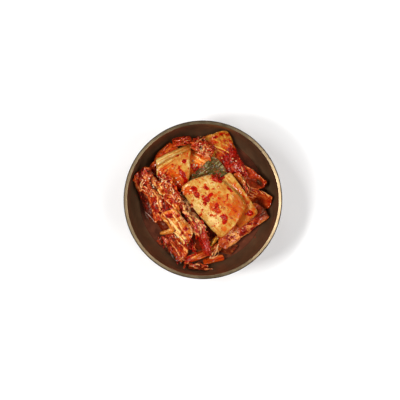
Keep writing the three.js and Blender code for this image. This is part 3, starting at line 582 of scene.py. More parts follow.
# Spots of chilli paste: x, y, length, width, heading, then how strong, orange at 0.5 and red at 1.
SPOTS = {
    "stem_front": [
        (12, 17.8, 10, 6.5, -10, 1), (3.5, 9.2, 3.4, 2, -20, 1), (7.8, 8.5, 1.8, 1.4, 0, 0.5),
        (5.8, 3.8, 4.6, 3.6, 30, 1), (3, 0.6, 5.6, 4.4, 50, 1), (1.9, -2.7, 3.2, 2.8, 90, 1),
        (0.1, 2.4, 2.2, 1.6, 0, 1), (-4.4, 3.8, 7, 3.6, -75, 1), (-7.8, 9.2, 4.6, 2.8, 0, 1),
        (-11.1, 7.4, 9, 6.5, 0, 0.5), (-8.9, -3.8, 3.6, 1.4, 80, 0.8), (11.4, -3.8, 4.2, 3, 70, 0.8),
        (6.9, -4.8, 5, 3.6, 80, 0.5), (11.6, -8.4, 6, 4, -10, 0.6), (13.1, 0.8, 2.2, 1.6, 0, 0.6),
        (16.3, -13.5, 6, 3.4, -10, 1), (18.1, -16.7, 4.4, 3.6, 90, 1), (24.9, -7.4, 5, 4, -40, 0.5),
        (-2.3, -12.4, 2.2, 1.4, 70, 0.8), (6.6, -12.6, 2, 1.5, 0, 0.6), (9.3, -21, 1.4, 1.2, 0, 0.6),
        (17.4, -23.2, 4, 3, 0, 0.35), (12.7, 10.3, 1.6, 1.4, 0, 0.6), (19.5, 2.7, 3, 1.3, 80, 0.7),
        (22.8, 7, 3, 1.2, -35, 1), (30, -14, 2, 1.4, 0, 0.5), (26, -16, 3, 1.6, -50, 0.5),
        (14, 6, 2.4, 1.6, 0, 0.5), (9.6, 3.4, 2, 1.4, 40, 0.5), (16.6, -1.6, 1.8, 1.3, 0, 0.6),
        (20.4, -4.2, 1.6, 1.4, 0, 0.55), (28.4, -2, 1.6, 1.2, 0, 0.6), (22, -11.4, 1.8, 1.4, 0, 0.5),
        (9.5, -13, 1.5, 1.1, 0, 0.5), (-0.5, -8, 1.2, 1, 0, 0.6), (1.6, 12.4, 1.4, 1, 0, 0.55),
    ],
    "stem_front_under": [
        (13, 18.6, 8, 6, -10, 1), (38.4, -10.9, 5.4, 4.6, 0, 1), (25.2, 11.4, 2.6, 1.4, 70, 0.5),
        (33, 2.6, 1.6, 1.2, 0, 0.6), (36.6, -2.4, 1.6, 1.2, 0, 0.55), (29, 7.4, 1.4, 1.1, 0, 0.5),
        (41, -7.6, 1.4, 1.2, 0, 0.5),
    ],
    "stem_back": [
        (-15, 30.6, 3.6, 2.6, -30, 1), (-20.6, 35.6, 2.2, 1.6, 0, 1), (-16.6, 20.6, 9, 3.2, -55, 1),
        (-13.6, 14.6, 5, 2.6, -60, 0.9), (-27, 17.2, 4, 2.6, -40, 1), (-22.4, 21.6, 5, 3, -20, 0.5),
        (-20, 14, 9, 5, -30, 0.5), (-24.4, 28, 1.6, 1.2, 0, 0.8), (-18.6, 26.6, 1.4, 1, 0, 0.7),
        (-12, 34.8, 1.6, 1, 0, 0.6), (-30.5, 24.4, 2.6, 1.2, 40, 0.6), (-11.6, 24.6, 1.4, 1.2, 0, 0.6),
        (-33, 19, 5, 3, -50, 0.7), (-25, 10, 6, 4, 0, 0.9),
    ],
    "leaf_top": [
        (10.4, 50.6, 2.8, 2.2, 0, 1), (15, 53, 1.6, 1.2, 0, 0.7), (20.5, 52.2, 2, 1.4, 0, 0.6),
        (17, 47.2, 4, 1.6, 30, 0.6), (23.4, 46.2, 3, 1.6, -50, 0.6), (10, 47, 2, 1.6, 0, 0.6),
    ],
    "shreds_middle": [
        (-28, 14, 4, 3, 0, 1), (-23, 8, 4, 3, -40, 0.9), (-18, 1, 3, 2.4, 0, 0.9), (-30, 4, 3, 2, 0, 1),
        (-24, -2, 3, 2, 0, 0.8), (-17, 8, 4, 3, 0, 0.6), (-26, 19, 4, 2, 0, 0.7),
    ],
    "leaf_frilled": [(-46, 12.6, 4.4, 3.2, -20, 1), (-38.6, -7, 7, 4, -50, 0.9)],
    "leaf_middle": [(-5, 25, 5, 4, 0, 1), (-9, 27.4, 3, 2, 70, 0.7), (0, 24, 3, 2, 0, 0.6)],
    "leaf_under_front": [
        (33, -25.6, 7, 3.4, 50, 1), (45.6, -13.4, 9, 3, 50, 0.8), (50.6, -8.6, 4, 3, 0, 0.6),
        (24.6, -30.4, 4, 2, 20, 0.8), (20.6, -33, 2.4, 1.4, 0, 0.7), (38.6, -19, 3, 2, 0, 0.7),
        (28.6, -34.2, 3.4, 1.8, 10, 0.8), (43, -18.4, 3, 2, 0, 0.8), (41, -23, 3, 1.8, 40, 0.9),
    ],
    "leaf_ribbed": [
        (-13.4, -24.2, 3, 2.2, 0, 0.8), (-11.4, -29, 2, 1.6, 0, 0.8), (-17, -27.4, 2.6, 1.6, 50, 0.9),
        (-26.4, -13.6, 5, 3, 0, 1), (-20.4, -13, 3, 2, 0, 0.7),
    ],
    "stem_low_long": [(-13, -49, 6, 4, 20, 0.9), (0, -42.6, 6, 1.6, 24, 0.6), (8, -43, 6, 1.4, 24, 0.55)],
}

# Where a piece's look changes from its usual: x, y, reach, more stain, more paste, more painted shade.
# A row here and in LINES leaves out what it doesn't change at its end.
TINTS = {
    "stem_front": [
        (0, 13, 5, -0.3), (14, 6, 8, 0.55, 0.08), (12, -4, 8, 0.4, 0.1), (29, -3, 8, 1.4, 0.26, 0.1),
        (26, -12, 6, 0.6, 0.12), (20, -22, 6, 0.4, 0.05), (14, -28, 6, 0.6, 0.1),
        # The pale patch at 10, -15 is partly the stem's pale flesh and partly painted highlight on its
        # crown.
        (10, -15, 6, -0.6, -0.1), (-5, -4, 6, -0.4), (-15, 6, 5, 0.4, 0.25), (2, -18, 6, -0.1),
        (18, 11, 4, 0.4, 0.1),
    ],
    "stem_front_under": [
        (20, 15, 6, -0.2, -0.1), (34, 0, 7, 0.3, 0.05), (40, -9, 7, 0.3, 0.15), (33, -13, 5, 0.7, 0.2),
        (29, -19, 6, 1.1, 0.35), (27, 9, 4, 0.2, 0.05),
    ],
    "stem_back": [
        (-31, 19, 6, 0.4, 0.4), (-32, 11, 7, 0.4, 0.7), (-22, 11, 7, 0.6, 0.6), (-14, 12, 4, 0.4, 0.4),
        (-14, 38, 5, 0.3, 0.05), (-22, 20, 6, 0.6, 0.15), (-31, 28, 4, 0.3, 0.1), (-17, 33, 5, 0.2),
        (-26, 25, 4, -0.2), (-12, 28, 5, -0.1),
    ],
    "stem_back_under": [(-36, 29, 6, -0.6, -0.1), (-26, 36, 5, 0.1), (-12, 44, 8, 0.5, 0.25)],
    "leaf_top": [
        (3, 48, 5, 0.9, 0, 0.1), (19, 51, 6, 0.1, 0.1), (8, 46, 4, 0.1, 0.3), (24, 46, 5, 0, 0.1),
        (28, 33, 7, 0.2, 0.85), (19, 33, 7, 0, 0.7), (33, 22, 8, 0.1, 0.9), (25, 24, 6, 0.1, 0.8),
        (24, 40, 4, 0, 0.4), (12, 40, 4, -0.2, 0.2),
    ],
    "leaf_middle": [(-5, 24, 5, 0.2, 0.2), (-3, 32, 5, -0.3, -0.2), (0, 38, 5, 0, 0.4)],
    "leaf_green": [
        # The whitened marks at 12, 29.5 and 16, 27.4 are painted highlight, the green leaf's glints.
        (8, 33, 5, -0.2), (0, 22, 6, 0.1, 0.05), (-8, 15, 5, 0.1, 0.1, 0.2), (12, 29.5, 2.6, -0.6),
        (16, 27.4, 2, -0.8), (1, 22, 3, 0, 0.25), (18, 32, 3, 0.3, 0.2),
    ],
    "leaf_curl_lower": [
        (44, 9, 5, 0.1, 0.2), (52, 5, 4, -0.6, -0.1), (56, -4, 6, 0.1, 0.25), (40, 5, 5, -0.3, 0.2, -0.5),
    ],
    "leaf_curl_upper": [
        (36, 21, 5, 0.3, 0.2, 0.1), (47, 19, 5, -0.2, -0.3, 0.15), (51, 12, 4, 0, 0.1),
        (42, 7, 5, 0, -0.1, 0.1),
    ],
    "stem_sliver": [(31, 12, 8, 0.2, 0, 0.35)],
    "leaf_under_front": [
        (28, -31, 6, -0.5, -0.1), (22, -36, 5, -0.3, -0.1), (38, -22, 6, -0.3), (25, -29, 3.4, -1, -0.5),
        (38.6, -21, 3, -0.8, -0.4), (31, -30, 2.4, -0.6, -0.4), (48, -10, 6, 0.8, 0.1, 0.5),
        (53, -7, 5, 0.8, 0.1, 0.8), (15, -38, 5, 0.5, 0.1, 0.4),
    ],
    "leaf_ribbed": [
        (-12, -26, 6, 0.3), (-28, -12, 5, 0.3, 0.5), (-26, -24, 5, 0.3, 0.3), (-20, -34, 5, 0.4, 0.3),
    ],
    "stem_low_long": [(-12, -50, 6, 0.1, 0.4, 0.1), (2, -44, 9, 0.1, 0.1, 0.15)],
    "stem_low_short": [(16, -47, 5, 0, 0.2)],
    "leaf_pale_low": [(18, -38, 12, 0, 0, 0.5)],
    "leaf_low_left": [(-27, -36, 8, 0.2, 0, 0.35), (-18, -46, 6, -0.5, -0.3), (-30, -34, 5, 0, 0.2)],
    "leaf_frilled": [
        (-44, 6, 7, -0.4, -0.2), (-38, -6, 6, 0.4, 0.42), (-30, -14, 7, 0.5, 0.5),
        # The rows at -41.6, 21 and -38.6, 17 paint shade on the leaf's upper right shoulder.
        (-41.6, 21, 3.6, 0.6, 0.4, 0.8), (-38.6, 17, 3, 0.5, 0.3, 0.5),
    ],
}

# Hollows under a curled edge: x, y, length, width, heading, depth, and the darkness of the painted shade
# in it.
HOLLOWS = {
    "leaf_curl_lower": [(44.6, -4.6, 18, 13, -8, 3, 0.65)],
    "leaf_curl_upper": [(41.2, 12.8, 15, 11, -42, 2.2, 0.6), (45.8, 13.8, 10, 4, -52, 1.2, 1)],
}

# Ribs, cords and creases: from x, y to x, y, width, height, more stain, more paste, more painted shade.
LINES = {
    "stem_front": [
        (34.3, -4.5, 33.4, -10, 1.8, 0.2, 0.6, 0.5), (33.4, -10, 27.1, -18.9, 1.9, 0.2, 0.6, 0.5),
        (27.1, -18.9, 14.9, -31.9, 2, 0.2, 0.6, 0.5), (-18, 1, -9, -10.5, 3, 0, 0.6),
        (-9, -10.5, 11, -29.5, 2.8, 0, 0.6, 0.05), (22, 5, 33, -5, 1.3, 0.3, 0.6, 0.25, 0.1),
        (23, 1.5, 31, -8, 1.2, 0.2, 0.6, 0.25, 0.1), (19, 0.5, 27, -11, 1.2, 0.15, 0.5, 0.15, 0.05),
    ],
    "stem_front_under": [
        (19, 17, 31, 5.5, 2.6, 0, 0.9, 0.3), (31, 5.5, 35.5, -3, 2.6, 0, 0.9, 0.3),
        (35.5, -3, 34, -12, 2.4, 0, 0.6, 0.3),
    ],
    "leaf_ribbed": [
        (-31, -12, -19, -25, 2, 1, -1.4, -0.8), (-19, -25, -13, -34, 2.6, 1, -1.4, -0.8),
        (-24, -13, -17, -21, 1.5, 0.7, -1, -0.6), (-27, -17, -22, -26, 1.5, 0.7, -0.9, -0.5),
        (-24, -26, -16, -33, 1.6, 0.8, -0.9, -0.5), (-28, -24, -22, -32, 1.3, 0.7, -0.7, -0.4),
        (-21, -19, -15, -28, 1, -0.3, 0.4, 0.5, 0.1), (-29, -15, -23, -24, 1, -0.4, 0.4, 0.6, 0.2),
    ],
    "leaf_middle": [
        (-8, 36, 3, 31, 1.1, 0.7, -0.9, -0.5), (-6, 38.5, 5, 34, 1.1, 0.7, -0.8, -0.5),
        (-9, 33, 1, 28, 1, 0.5, -0.7, -0.4), (-5, 33.6, 4, 29.6, 1, 0.5, -0.8, -0.4),
    ],
    "leaf_top": [
        (8.5, 44, 21.4, 38, 1.3, 0.6, -1, -0.7), (12, 47.5, 22, 42, 1, 0.3, -0.4, -0.3),
        (10, 41.4, 18, 36, 1, 0.4, -0.5, -0.5), (16, 54, 23.4, 43, 0.9, 0.3, -0.3, 0.1),
    ],
    "leaf_green": [
        (10.5, 25, 19.5, 32.5, 1, -0.4, 0.9, 0, 0.6), (9, 29, 14, 33, 0.9, 0.3, -0.6),
        (-10, 14, 8, 29, 1.4, 0.4, -0.3),
    ],
    "leaf_curl_lower": [
        (38, 7.4, 44.4, 4.6, 1.1, 0.5, -0.9, -0.5), (37.4, 5.2, 44, 2.4, 1.1, 0.5, -0.8, -0.5),
        (37, 3, 42.6, 0.6, 1, 0.5, -0.7, -0.5), (39, 11, 45, 5, 1.2, 0.7, -0.9, -0.5),
        (42, 12, 49.5, 4.4, 1.2, 0.8, -0.9, -0.5), (45, 11.4, 54, 2.4, 1.2, 0.7, -0.8, -0.5),
        (49, 8.8, 57.6, -0.4, 1.2, 0.5, -0.6, -0.3), (40.6, 11.8, 47.4, 4.6, 0.8, -0.4, 0.3, 0.6, 0.2),
        (43.8, 12, 51.6, 3.2, 0.8, -0.4, 0.3, 0.6, 0.1),
    ],
    "leaf_curl_upper": [
        (33, 27.4, 44, 22.6, 1, 0.6, -0.7, -0.4), (44, 22.6, 51.5, 12, 1.1, 0.6, -0.7, -0.4),
        (36.4, 22.7, 33.6, 11.1, 1.3, 0.7, -1, -0.8), (37.6, 10.4, 45.6, 8.4, 0.9, 0.4, -0.9, -0.6),
        (38.4, 8.4, 47, 5.4, 0.9, 0.4, -0.8, -0.5), (38, 9.4, 46.4, 6.9, 0.7, -0.3, 0.4, 0.6, 0.2),
        (40.4, 6.4, 47.4, 3.6, 0.8, 0.3, -0.6, -0.4),
    ],
    "stem_sliver": [
        (31, 19, 35.5, 5, 1.1, 0.8, -1, -0.7), (34, 21, 36, 10, 0.9, 0.6, -0.8, -0.5),
        (29.6, 21, 33, 9, 0.8, 0.5, -0.6, -0.4),
    ],
    "stem_back_under": [
        (-38, 29, -12, 42, 1, 0.4, -0.4), (-37, 31.5, -11, 45, 1, 0.4, -0.4),
        (-37, 30.2, -14, 42.2, 0.8, -0.15, 0.4, 0.2), (-37.6, 27.6, -20, 36.8, 0.8, -0.15, 0.4, 0.3),
    ],
    "stem_back": [
        (-37, 24.6, -25, 33, 1.1, 0.3, -0.8, -0.3), (-36, 22.2, -22, 33, 1, -0.4, 0.8, 0.4, 0.2),
        (-34, 19.6, -26, 27, 1.1, 0.3, -0.6, -0.2), (-34, 16, -28, 24, 1, -0.4, 0.6, 0.5, 0.2),
        (-38.2, 15, -36, 23, 1.3, 0.4, -1.1, -0.6), (-18.2, 19, -15.8, 11.7, 1.2, 0.6, 0.6, -0.5),
        (-9.6, 24, -8.8, 36, 1.2, 0, 0.5, 0.2),
    ],
    "shreds_middle": [
        (-36.5, 21, -38, 14, 1.2, 0.7, -1.2, -0.8), (-38, 14, -34, 6, 1.2, 0.7, -1.2, -0.8),
        (-34, 6, -27, -4, 1.2, 0.6, -1, -0.6), (-33.4, 19, -34.4, 12, 1, 0.6, -0.9, -0.6),
        (-34.4, 12, -29.6, 3, 1, 0.6, -0.8, -0.5), (-26, -4, -18, -11, 1.6, 0.4, -0.9, -0.8),
    ],
    "leaf_low_left": [
        (-26, -36, -17, -50, 1.4, 0.8, -1, -0.7), (-21, -34, -15, -42, 1.3, 0.7, -0.8, -0.6),
        (-24, -33, -20, -40, 1, -0.5, 0.4, 0.4, 0.3),
    ],
    "leaf_frilled": [
        (-42, 16.5, -35, 3, 3, -1.5, 0.3, 0.5, 0.9), (-35, 3, -27, -5, 2.4, -1, 0.3, 0.5, 0.6),
        (-55, 14, -40, -18, 4, -0.8, 0.4, 0.4, 0.4), (-39.8, 18, -36.6, 8.6, 1.4, 1, -1.3, -0.9),
        (-50, 10, -43, -0.6, 1.5, 0.9, -1.2, -0.8), (-41.6, 9, -34.2, -5, 2, 1.1, -1.4, -1),
        (-46.8, 18.6, -43.6, 15.6, 2.2, 0.8, -1.1, -0.8), (-45, 8, -39, -2, 1.2, 0.8, -0.9, -0.6),
        (-40, 1, -31, -12, 1.6, 0.9, -1, -0.7), (-42, 3, -36, -7, 1, 0.6, -0.5, -0.4),
        (-38, -8, -33, -16, 1.2, 0.7, -0.6, -0.4),
    ],
    "stem_low_long": [
        (-10, -47.5, 12, -38, 1.1, 0.3, -0.9, -0.4), (-12, -45.6, -2, -41, 0.8, 0.3, -0.9, -0.4),
        (-8, -49, 13, -40.4, 0.9, -0.3, 0.6, 0.3, 0.2), (-11, -46.6, 8, -38.6, 0.8, -0.2, 0.5, 0.4, 0.1),
    ],
    "stem_low_short": [
        (2, -49.4, 16, -45.6, 0.9, 0.3, -0.5, -0.2), (3, -51, 17, -47.4, 0.8, -0.2, 0.4, 0.5, 0.1),
    ],
    "leaf_strip_pale": [
        (5, -40, 10.5, -31, 0.8, 0.3, -1.4, -0.3), (7.2, -40.6, 12.2, -32, 0.9, -0.3, 0.4, 0.1, 0.7),
    ],
    "stem_finger": [(-34, -27.6, -26, -24, 1, 0.3, -0.5, -0.3)],
}


def turned(points, heading):
    """The points along and across a heading, with their heights."""
    c, s = math.cos(math.radians(heading)), math.sin(math.radians(heading))
    along = points[:, 0] * c + points[:, 1] * s
    across = points[:, 1] * c - points[:, 0] * s
    return np.column_stack([along, across, points[:, 2]])


class Grid:
    """A height over each square cell of the plan."""

    def __init__(self, cell, heights):
        self.cell, self.heights = cell, heights

    def cells(self, points):
        count = len(self.heights)
        cells = np.floor(points[:, :2] / self.cell).astype(int) + count // 2
        return tuple(np.clip(cells, 0, count - 1).T)

    def at(self, points):
        return self.heights[self.cells(points)]

    def cover(self, points):
        np.maximum.at(self.heights, self.cells(points), points[:, 2])


def free_height(skin, node):
    """The free height over each point of a piece, under the other pieces' solids."""
    vertices, faces = [], []
    for other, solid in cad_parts.items():
        if other not in (node, "bowl", "brine"):
            start = len(vertices)
            vertices += [1000 * v.co for v in solid.data.vertices]
            faces += [[start + k for k in face.vertices] for face in solid.data.polygons]
    tree = BVHTree.FromPolygons(vertices, faces)
    grid = Grid(CEILING_CELL, np.full((CEILING_CELLS, CEILING_CELLS), OPEN_HEIGHT))
    cells = np.transpose(grid.cells(skin.points))
    upward = skin.normals()[:, 2] > 0.2
    for k in np.flatnonzero(upward)[::3]:
        distance = tree.ray_cast(Vector(skin.points[k]), Vector((0, 0, 1)))[3]
        if distance is not None:
            i, j = cells[k]
            grid.heights[i, j] = min(grid.heights[i, j], distance)
    for _ in range(2):
        padded = np.pad(grid.heights, 1, mode="edge")
        beside = padded[:-2, 1:-1], padded[2:, 1:-1], padded[1:-1, :-2], padded[1:-1, 2:]
        grid.heights = np.minimum(grid.heights, np.minimum.reduce(beside) + CEILING_SLOPE)
    return grid.at(skin.points)


def oval(points, x, y, length, width, heading):
    """Each point's distance from the middle of an oval, 1 on its edge."""
    local = turned(points - (x, y, 0), heading)
    return np.hypot(local[:, 0] / (length / 2), local[:, 1] / (width / 2))


HALO = 0.24  # how strong the stain round a spot of paste is


def near_spots(points, spots, seed):
    """How strongly each point is covered by ragged spots of paste."""
    cover = np.zeros(len(points))
    ragged = 0.8 * noise(points, 2.4, seed) + 0.6 * noise(points, 1.1, seed + 1)
    for *place, strength in spots:
        beyond = (oval(points, *place) - 1) * place[3] / 2
        cover = np.maximum(cover, strength * step(ragged - beyond, -0.5, 0.1))
        halo = np.exp(-(beyond.clip(0) ** 2) / 0.6)
        cover = np.maximum(cover, HALO * strength * halo)
    return cover


# How large a leaf's relief and streaks are along its grain, across it and in height, in millimetres.
CREASES = (12, 5, 30)
LUMPS = (6, 3.4, 30)
SMALL_LUMPS = (2.6, 1.9, 30)
FIBROUS = (30, 2.2, 60)
STREAKS = (14, 1.6, 40)


def fold_leaf(skin, node, seed):
    """Raises a piece's folds, fibres, ribs and frills. It returns its points in its own bent grain, how
    near each point is to each line and how much painted shade the hollows put on it."""
    _, heading, groove, fold, ruffle, *_ = PIECES[node]
    start = skin.points.copy()
    local = turned(start, heading)
    bent = local + 2.4 * np.column_stack([noise(local, 9, seed + k) for k in range(3)])
    folds = 0.45 * ridged(bent, CREASES, seed) + 0.4 * lumpy(bent, LUMPS, seed + 1)
    folds += 0.3 * lumpy(bent, SMALL_LUMPS, seed + 2)
    folds *= 1 + 0.5 * noise(start, 9, seed + 18)
    fibres = ridged(bent, FIBROUS, seed + 3)
    lines = LINES.get(node, [])
    near = [near_line(start, *line[:5], seed + 9) for line in lines]
    rise = fold * folds + groove * fibres
    rise += sum(max(line[5], 0) * on for line, on in zip(lines, near))
    rise = np.minimum(rise, CEILING_SHARE * free_height(skin, node))
    rise += sum(min(line[5], 0) * on for line, on in zip(lines, near))
    # Each of the piece's hollows is sunk and gets painted shade.
    painted_shade = np.zeros(len(start))
    for *place, depth, darkness in HOLLOWS.get(node, []):
        inside = step(-oval(start, *place) + 0.2 * noise(start, 5, seed + 11), -1.2, -0.4)
        rise -= depth * inside
        painted_shade = np.maximum(painted_shade, darkness * inside)
    skin.points[:, 2] += skin.blurred(rise, 2)
    for axis in (0, 1):
        wavy = fractal(start, 5, seed + 12 + axis) + 0.9 * noise(start, 11, seed + 19 + axis)
        skin.points[:, axis] += ruffle * wavy
    skin.points += skin.normals() * (0.08 * fractal(skin.points, 1.8, seed + 4))[:, None]
    return bent, near, painted_shade


def make_leaf(node, seed):
    """Makes a piece and gives each point its stain, its paste and its painted shade. It returns the
    points.
    """
    (slot, material), _, groove, fold, _, stain, paste, mottling = PIECES[node]
    skin = Skin(fine_mesh(node, VOXEL))
    skin.points = skin.blurred(skin.points, 4)
    start = skin.points.copy()
    bent, near, painted_shade = fold_leaf(skin, node, seed)

    leafy = step(fold + groove, 0.3, 1.5)
    crumpled = step(fold, 1.2, 2.4)
    crest = leafy * np.clip(skin.relief(40) / 0.45 + 0.5 * skin.relief(8) / 0.12, -1.2, 1.2)
    streak = noise(bent, STREAKS, seed + 6)
    stain = stain + (0.35 + 0.5 * leafy) * fractal(start, 7, seed + 5) + (0.3 - 0.2 * crumpled) * streak
    paste = paste + (0.2 + 0.4 * leafy) * fractal(start, 6, seed + 21) - 0.3 * crest + 0.12 * streak
    # Crests are paler, partly where the paste is thin and partly as painted highlight; the deepest
    # valleys get painted shade.
    looks = np.array([stain - 0.45 * crest, paste, 0.4 * leafy * np.clip(-crest - 0.4, 0, 1)])
    for x, y, reach, *more in TINTS.get(node, []):
        close = np.exp(-((start[:, 0] - x) ** 2 + (start[:, 1] - y) ** 2) / reach**2)
        looks[: len(more)] += np.outer(more, close)
    for line, on in zip(LINES.get(node, []), near):
        looks[: len(line) - 6] += np.outer(line[6:], on)
    stain, paste, dark = looks

    patchy = step(fractal(start, 1.9, seed + 16), 0.08, 0.22)
    paste = paste + 0.5 * mottling * patchy * step(noise(start, 8, seed + 17), -0.5, 0.4)
    specks = step(noise(start, 0.9, seed + 7), 0.42, 0.7) * step(noise(start, 7, seed + 8), -0.5, 0.3)
    paste = np.maximum(paste, 0.65 * specks)
    spots = near_spots(start, SPOTS.get(node, []), seed + 8)
    paste = np.maximum(paste, np.where(spots > 0.36, spots, paste + spots))
    lumps = 0.15 + 0.3 * noise(start, 2.8, seed + 14) + 0.06 * noise(start, 1.4, seed + 15)
    skin.points += skin.normals() * ((0.5 + 0.5 * leafy) * step(paste, 0.3, 0.8) * lumps)[:, None]
    # The attribute dark carries the painted shade of valleys, lines and hollows.
    skin.attributes(stain=stain, paste=paste, dark=np.clip(dark + painted_shade, 0, 1),
                    along=bent[:, 0] * (1 + 5 * crumpled), across=bent[:, 1])
    skin.dressed(node + "_skin", material, slot, node)
    return skin.points


# The highest point over each place, raised as shreds are laid.
centres = (np.arange(HEAP_CELLS) - (HEAP_CELLS - 1) / 2) * HEAP_CELL
bare_heights = wall_height(np.hypot(*np.meshgrid(centres, centres, indexing="ij")))
heap = Grid(HEAP_CELL, np.maximum(bare_heights, BRINE_LEVEL - 0.3))
for number, leaf in enumerate(PIECES, 1):
    heap.cover(make_leaf(leaf, 20 * number))

# ---- tangles of shreds

# The solid part of each: its material, its slot, how fine its mesh is and how much paste it carries.
TANGLES = {
    # The core shows only in the gaps between pieces, and its dark leaf colours are painted shade there.
    "kimchi_core": (DARK[1], "red_leaf", 0.6, 0.35),
    "shreds_top": (RED[1], "red_shred", VOXEL, 0.4),
    "shreds_hanging": (RED[1], "red_shred", VOXEL, 0.6),
}


def make_tangle_bed(node, seed):
    """The solid part of a tangle: what its loose shreds lie on."""
    material, slot, voxel, paste = TANGLES[node]
    skin = Skin(fine_mesh(node, voxel))
    skin.points = skin.blurred(skin.points, 5)
    skin.points += skin.normals() * (0.5 * fractal(skin.points, 3.0, seed))[:, None]
    crest = np.clip(skin.relief(20) / 0.4, -1, 1)
    cloud = fractal(skin.points, 6, seed + 1)
    along, across, _ = skin.points.T
    # Crests are paler, partly where the paste is thin and partly as painted highlight.
    skin.attributes(stain=0.5 + 0.4 * cloud - 0.5 * crest, paste=paste + 0.3 * cloud - 0.45 * crest,
                    dark=np.zeros(len(cloud)), along=along, across=across)
    skin.dressed(node + "_bed", material, slot, node)
    return skin.points


for number, tangle in enumerate(TANGLES):
    heap.cover(make_tangle_bed(tangle, 700 + 20 * number))

# Where shreds lie: x, y, length and width of the patch, its heading, how many, how long and wide
# they are, how far they stray from the heading, and their tone from 0, deep red, to 1, pale.
SHRED_PATCHES = [
    (0, 43.5, 16, 11, -30, 48, 6, 1, 1.1, 0.6), (-17, 47, 11, 6, 14, 12, 6, 1.2, 0.8, 0.3),
    (-28.5, 9, 22, 6, -64, 9, 7, 1.1, 0.5, 0.6), (-21, 2, 16, 8, -40, 8, 6, 1.1, 0.7, 0.55),
    (-14, -8, 12, 5, -50, 10, 6, 1.3, 0.6, 0.3), (-8, -13, 26, 5, -52, 38, 7, 1.8, 0.35, 0.95),
    (-1, -24, 14, 5, -50, 14, 6, 1.5, 0.4, 0.35), (-31.5, 16, 10, 5, -60, 8, 4, 1.1, 0.8, 0.5),
    (-44.5, 9, 14, 6, -62, 14, 5, 1, 0.6, 0.75), (-15, -0.5, 10, 4, -50, 10, 5, 1.4, 0.5, 0.85),
    (-46, 20, 8, 8, -60, 8, 6, 1.5, 0.7, 0.5), (-8, -21, 14, 4, -55, 7, 9, 1.6, 0.25, 0.3),
    (2, -34, 22, 5, -68, 18, 9, 1.4, 0.3, 0.05), (-31, -36, 16, 6, -60, 8, 7, 1.6, 0.5, 0.35),
    (-18, -50, 12, 6, -45, 8, 6, 1.5, 0.6, 0.35), (-9, -38, 12, 7, -60, 14, 6, 1.4, 0.5, 0.15),
    (25, 29, 14, 8, -62, 10, 6, 1.4, 0.8, 0.3), (33, 14, 14, 4, -75, 7, 9, 0.9, 0.2, 0.55),
    (10, -41, 14, 3, 55, 5, 10, 1.1, 0.15, 0.9), (-4, -54, 18, 2.4, -8, 9, 7, 1.2, 0.3, 0.8),
]

SHRED_LIMIT = INNER_RADIUS - 2.5  # from the bowl's middle


class Strips:
    """Many bent strips gathered into one mesh, each with its own tone."""

    SIDES = 8

    def __init__(self):
        self.points, self.faces, self.tones = [], [], []

    def add(self, line, widths, thickness, twist, tone):
        """A strip round a line, with a rounded flat section turned by twist."""
        forward = np.gradient(line, axis=0)
        forward /= np.linalg.norm(forward, axis=1)[:, None]
        across = np.cross((0, 0, 1), forward)
        across /= np.linalg.norm(across, axis=1)[:, None] + 1e-9
        rise = np.cross(forward, across)
        lean, turn = twist[:, None], 2 * np.pi * np.arange(self.SIDES) / self.SIDES
        side = across * np.cos(lean) + rise * np.sin(lean)
        top = rise * np.cos(lean) - across * np.sin(lean)
        wide, high = (np.sign(f(turn)) * np.abs(f(turn)) ** 0.7 / 2 for f in (np.cos, np.sin))
        x = np.outer(widths, wide)[..., None]
        y = np.outer(np.minimum(thickness, widths), high)[..., None]
        first, count = len(self.points), len(line) * self.SIDES
        self.points += list((line[:, None] + side[:, None] * x + top[:, None] * y).reshape(-1, 3))
        self.tones += [tone] * count
        last = first + count - self.SIDES
        for ring in range(first, last, self.SIDES):
            for s in range(self.SIDES):
                a, b = ring + s, ring + (s + 1) % self.SIDES
                self.faces.append((a, b, b + self.SIDES, a + self.SIDES))
        self.faces.append(tuple(range(first, first + self.SIDES))[::-1])
        self.faces.append(tuple(range(last, last + self.SIDES)))

    def dressed(self, name, material, slot):
        dress_toned(name, self.points, self.faces, self.tones, material, slot)


def shred_material():
    """Radish, carrot and leaf shreds in chilli paste, from deep red to pale orange by tone."""
    shader = Shader("red_shred")
    tone = shader.unsettled(shader.attribute("tone"), shader.noise(2.4), 0.8)
    fine = shader.noise(0.7, detail=4.0)
    red = shader.mixed(shader.spread(fine, 0.35, 0.65), (140, 12, 6), (190, 40, 14))
    flesh = shader.mixed(shader.spread(tone, 0.5, 1.1), (206, 90, 36), (236, 176, 114))
    colour = shader.mixed(shader.spread(tone, 0.25, 0.75), red, flesh)
    roughness = shader.spread(fine, 0.3, 0.7, 0.2, 0.4)
    return finished(shader, colour, 0.5, 0.15, Roughness=roughness, Specular_IOR_Level=0.12,
                    Coat_Weight=0.8, Coat_Roughness=0.1, **soft(0.3, 0.35, 0.1, 1.0))


